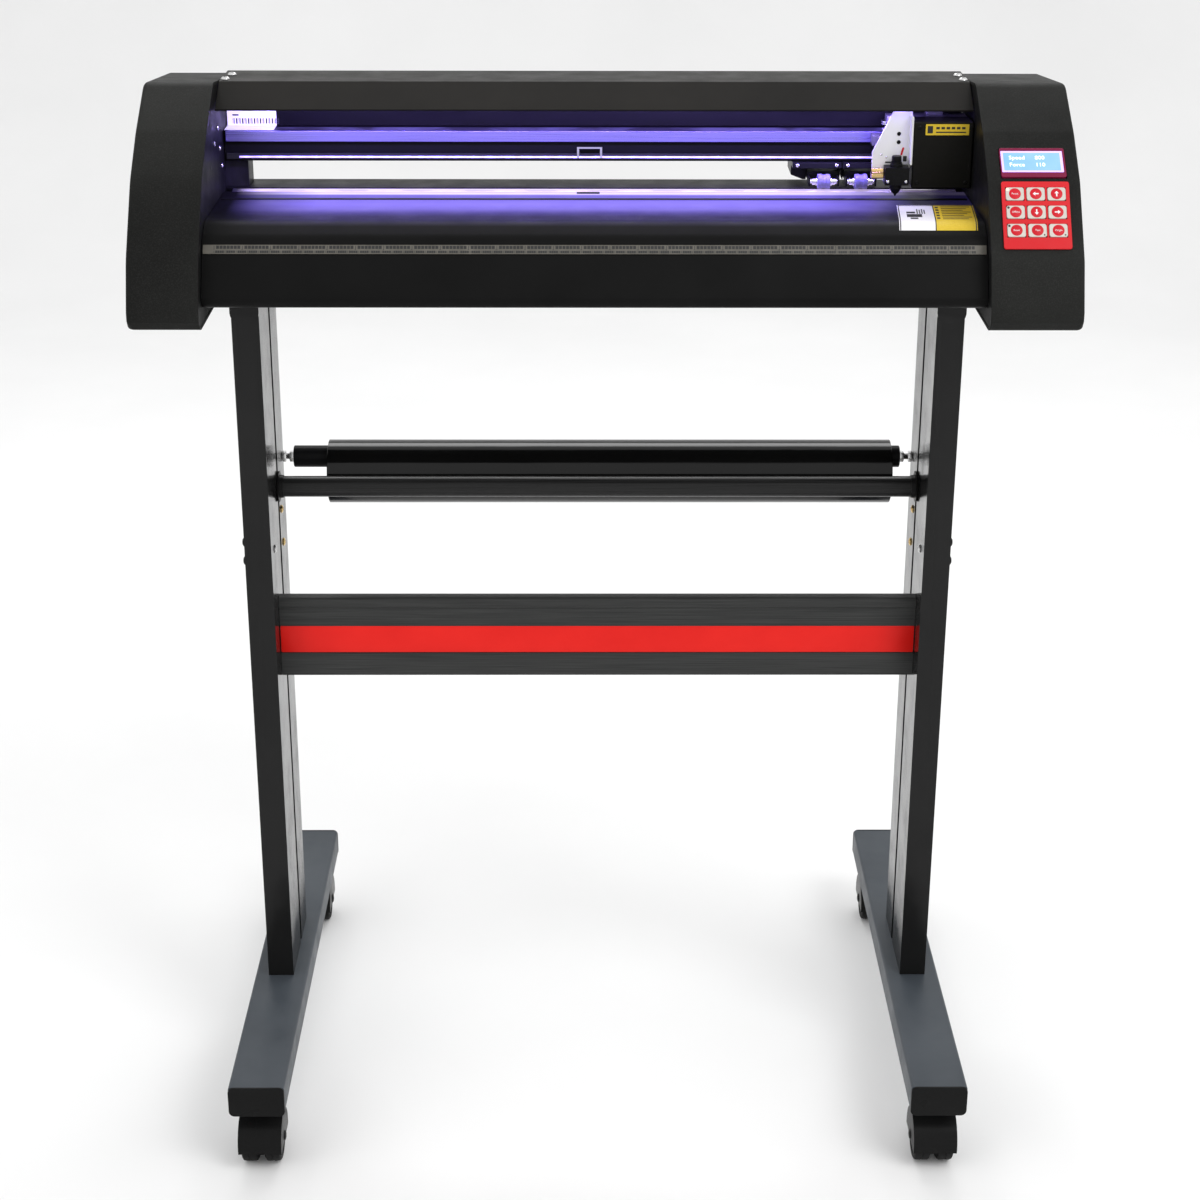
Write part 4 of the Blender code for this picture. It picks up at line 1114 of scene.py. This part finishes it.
def make_tool():
    softened("tool_slide", 0.0006)
    x, y = 0.2735, -0.026
    profile = (
        (0.9256, 0.0006), (0.9276, 0.0016), (0.929, 0.0034), (0.9322, 0.0052), (0.933, 0.0058),
        (0.9366, 0.0058), (0.9369, 0.0053), (0.9373, 0.0053), (0.9376, 0.0058), (0.956, 0.0058),
        (0.9563, 0.0052), (0.958, 0.0052), (0.9582, 0.0042), (0.9588, 0.0046), (0.9626, 0.0046),
        (0.9634, 0.004),
    )
    holder = finished(
        turned(profile, 40), "blade_body", "cap_plastic", shift(x, y, 0), "tool",
    )
    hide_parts("blade_holder")
    spots = ((0.2652, -0.0345, 0.9405), (0.2822, -0.0345, 0.9405))
    screws("tool_screw", spots, (0, -1, 0), 0.0016, "tool", height=0.0009)
    teeth = 30
    spokes = [(0.005 if i % 2 else 0.00465, pi * i / teeth) for i in range(teeth * 2)]
    ends = ((-0.006, 0.84), (-0.0054, 0.98), (0.005, 0.98), (0.0056, 0.84))
    rings = [[(r * cos(a) * share, r * sin(a) * share, at) for r, a in spokes] for at, share in ends]
    screw_z, knob_x, thread_x = 0.9465, 0.256, 0.2617
    place = along_x(y, screw_z, knob_x)
    knob = finished(lofted(rings), "clamp_knob", "brass", place, "clamp_screw", smooth=20)
    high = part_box("clamp_screw")[1]
    shaft = turned(thread_profile(high.x - thread_x, 0.002, 0.0007), 20)
    finished(shaft, "clamp_thread", "brass", along_x(y, screw_z, thread_x), "clamp_screw")
    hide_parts("clamp_screw")


# ---------------------------------------------------------------- control panel and power
ARROW = (
    (-0.0026, -0.0006), (0.0004, -0.0006), (0.0004, -0.0019), (0.0028, 0.0), (0.0004, 0.0019),
    (0.0004, 0.0006), (-0.0026, 0.0006),
)
KEY_WORDS = {
    "pause_button": "Pause", "offline_button": "Offline", "reset_button": "Reset", "test_button": "Test",
    "origin_button": "Origin",
}
KEY_TURNS = {"left_button": 180, "right_button": 0, "up_button": 90, "down_button": 270}


def make_panel():
    place = facet_frame(SCREEN_TOP, SCREEN_FOOT, 0.0363)
    softened("lcd_module", 0.0007, 3)
    window = slab(0.0556, 0.024, 0.00152, 0.0019, 0.0006, 3, 0.0001)
    finished(window, "screen_border", "screen_edge", place @ shift(-0.0006, 0.0006, 0))
    glass = slab(0.0512, 0.0202, 0.00191, 0.0021, 0.0004, 3, 0.00005)
    finished(glass, "screen_glass", "screen", place @ shift(-0.0008, 0.0004, 0))
    lines = []
    for words, number, row in (("Speed", "800", 0.0046), ("Force", "110", -0.0034)):
        lines.append(moved(text_shape(words, 0.006, 0.0001, "LEFT"), shift(-0.0215, row, 0.00218)))
        lines.append(moved(text_shape(number, 0.006, 0.0001, "LEFT"), shift(0.002, row, 0.00218)))
    finished(merged(lines), "readout", "readout", place, smooth=0)

    place = facet_frame(SCREEN_FOOT, KEYPAD_FOOT, 0.0365)
    top_row, pitch_x, pitch_y, key_top = 0.0685 / 2 - 0.0123, 0.01875, 0.0177, 0.0026
    for row, names in enumerate(KEY_NAMES):
        for column, name in enumerate(names):
            spot = place @ shift((column - 1) * pitch_x, top_row - row * pitch_y, key_top)
            softened(name, 0.0004, 2, "key_plastic")
            disc = turned(((0.00001, 0.0053), (0.0001, 0.0053), (0.00014, 0.0052)), 40)
            finished(disc, f"{name}_disc", "red_disc", spot, name)
            if name in KEY_TURNS:
                mark = prism(ARROW, "Z", 0.00012, 0.0002)
                mark = moved(mark, Matrix.Rotation(radians(KEY_TURNS[name]), 4, "Z"))
            else:
                mark = moved(text_shape(KEY_WORDS[name], 0.0026, 0.0001), shift(0, 0, 0.00018))
            finished(mark, f"{name}_mark", "white_print", spot, name, smooth=0)
    for number, (column, row) in enumerate(((0, 0), (0, 1), (0, 2), (1, 2), (2, 2)), 1):
        across, down, radius = (0.006, -0.0044, 0.0007) if column else (-0.0064, 0.0042, 0.0011)
        finish = "glass_dot" if number == 1 else "dark_print"
        at = ((column - 1) * pitch_x + across, top_row - row * pitch_y + down, key_top)
        spot = place @ Matrix.Translation(at)
        dot = turned(((0.00001, radius), (0.00012, radius), (0.0003, radius * 0.7)), 24)
        finished(dot, f"key_dot_{number}", finish, spot, KEY_NAMES[row][column])


def make_rear():
    """Inlet pins, the rounded inlet and rocker, and the covers' screws, seen from behind."""
    softened("power_inlet", 0.0005)
    softened("power_rocker", 0.0005)
    inlet = framed((PANEL_X, 0.1072, 0.868), (-1, 0, 0), (0, 0, 1))
    for number, (x, z) in enumerate(((-0.006, -0.0018), (0.0, 0.0022), (0.006, -0.0018)), 1):
        pin = slab(0.0018, 0.0042, 0.0, 0.0098, 0.0005, 3, 0.0004)
        finished(pin, f"inlet_pin_{number}", "bare_metal", inlet @ shift(x, z, 0))
    for word, side in SIDES:
        spots = [(side * 0.4, 0.121, z) for z in (0.855, 0.99)]
        screws(f"rear_screw_{word}", spots, (0, 1, 0), 0.0032, "root", "cap_plastic", 0.0016)
    for number, x in enumerate((-0.3, -0.1, 0.1, 0.3), 1):
        for name, y, z, radius in (("lid", 0.07, 1.012, 0.003), ("bed", 0.085, 0.88, 0.0034)):
            height = 0.0015 if name == "lid" else 0.0016
            spot = (x, y, z)
            screw(f"{name}_rear_screw_{number}", spot, (0, 1, 0), radius, "root", "cap_plastic", height)


def make_inside():
    """Parts the covers hide keep the CAD shape with a fuller finish."""
    for node in ("control_board", "power_supply", "feed_motor", "carriage_motor", "feed_motor_pulley"):
        softened(node, 0.0006)
    for node in ("motor_pulley", "idler_pulley", "grit_roller"):
        softened(node, 0.0004)


# ---------------------------------------------------------------- studio
def make_floor():
    made = Finish("floor", 0.65)
    made.tint(made.noise(2.0, 4.0), (0.8, 0.8, 0.8), (0.84, 0.84, 0.84))
    made.bump(made.noise(40.0, 3.0), 0.0002)
    shape = bmesh.new()
    reach, steps, sweep = 9.0, 24, 1.5
    rows = [(-reach, 0.0), (3.0, 0.0)]
    rows += [
        (3.0 + sweep * sin(a), sweep - sweep * cos(a))
        for a in (pi / 2 * i / steps for i in range(1, steps + 1))
    ]
    rows.append((3.0 + sweep, 6.0))
    lines = [[shape.verts.new((x, y, z)) for x in (-reach, reach)] for y, z in rows]
    for one, two in zip(lines, lines[1:]):
        shape.faces.new((one[0], one[1], two[1], two[0]))
    mesh = bpy.data.meshes.new("floor")
    shape.to_mesh(mesh)
    shape.free()
    mesh.shade_smooth()
    mesh.materials.append(made.material)
    floor = bpy.data.objects.new("floor", mesh)
    link(floor)


def area_light(name, spot, target, size, power, colour=(1.0, 1.0, 1.0)):
    data = bpy.data.lights.new(name, "AREA")
    data.shape = "RECTANGLE"
    data.size, data.size_y = size
    data.energy = power
    data.color = colour
    light = bpy.data.objects.new(name, data)
    light.location = spot
    light.rotation_euler = (Vector(target) - Vector(spot)).to_track_quat("-Z", "Y").to_euler()
    link(light)


def make_lights():
    world = bpy.data.worlds.new("studio")
    bpy.context.scene.world = world
    world.use_nodes = True
    background = next(n for n in world.node_tree.nodes if n.type == "BACKGROUND")
    background.inputs["Color"].default_value = (1.0, 1.0, 1.0, 1.0)
    background.inputs["Strength"].default_value = 0.95
    area_light("key", (1.7, -1.8, 3.0), (0.0, 0.0, 0.6), (1.6, 1.6), 40.0)
    area_light("fill", (-2.4, -1.8, 1.8), (0.0, 0.0, 0.6), (1.6, 1.6), 8.0)
    area_light("back", (0.0, 1.9, 2.8), (0.0, 0.2, 0.7), (2.4, 1.0), 35.0)
    middle, length, violet = -0.03, 0.62, (0.33, 0.24, 1.0)
    area_light("lid_diodes", (middle, -0.011, 1.0035), (middle, 0.02, 0.95), (length, 0.006), 1.4, violet)
    area_light("beam_diodes", (middle, 0.012, 0.95), (middle, 0.0119, 0.9), (length, 0.003), 0.22, violet)


# ---------------------------------------------------------------- the whole scene
def finish_cad_nodes():
    """Every CAD node still shown takes its material."""
    for name, node in frame["nodes"].items():
        node.data.materials.clear()
        node.data.materials.append(FINISHES[NODE_FINISH.get(name, SLOTS[name])].material)


MAKERS = (
    make_stand, make_media, make_casters, make_bed, make_ruler, make_covers, make_top, make_strip,
    make_marks_on_rail, make_plate_details, make_sticker, make_pinch_units, make_carriage, make_tool,
    make_panel, make_rear, make_inside, make_floor, make_lights,
)


def main():
    bpy.context.scene.view_settings.view_transform = "Standard"
    make_camera()
    make_finishes()
    finish_cad_nodes()
    for make in MAKERS:
        make()


main()
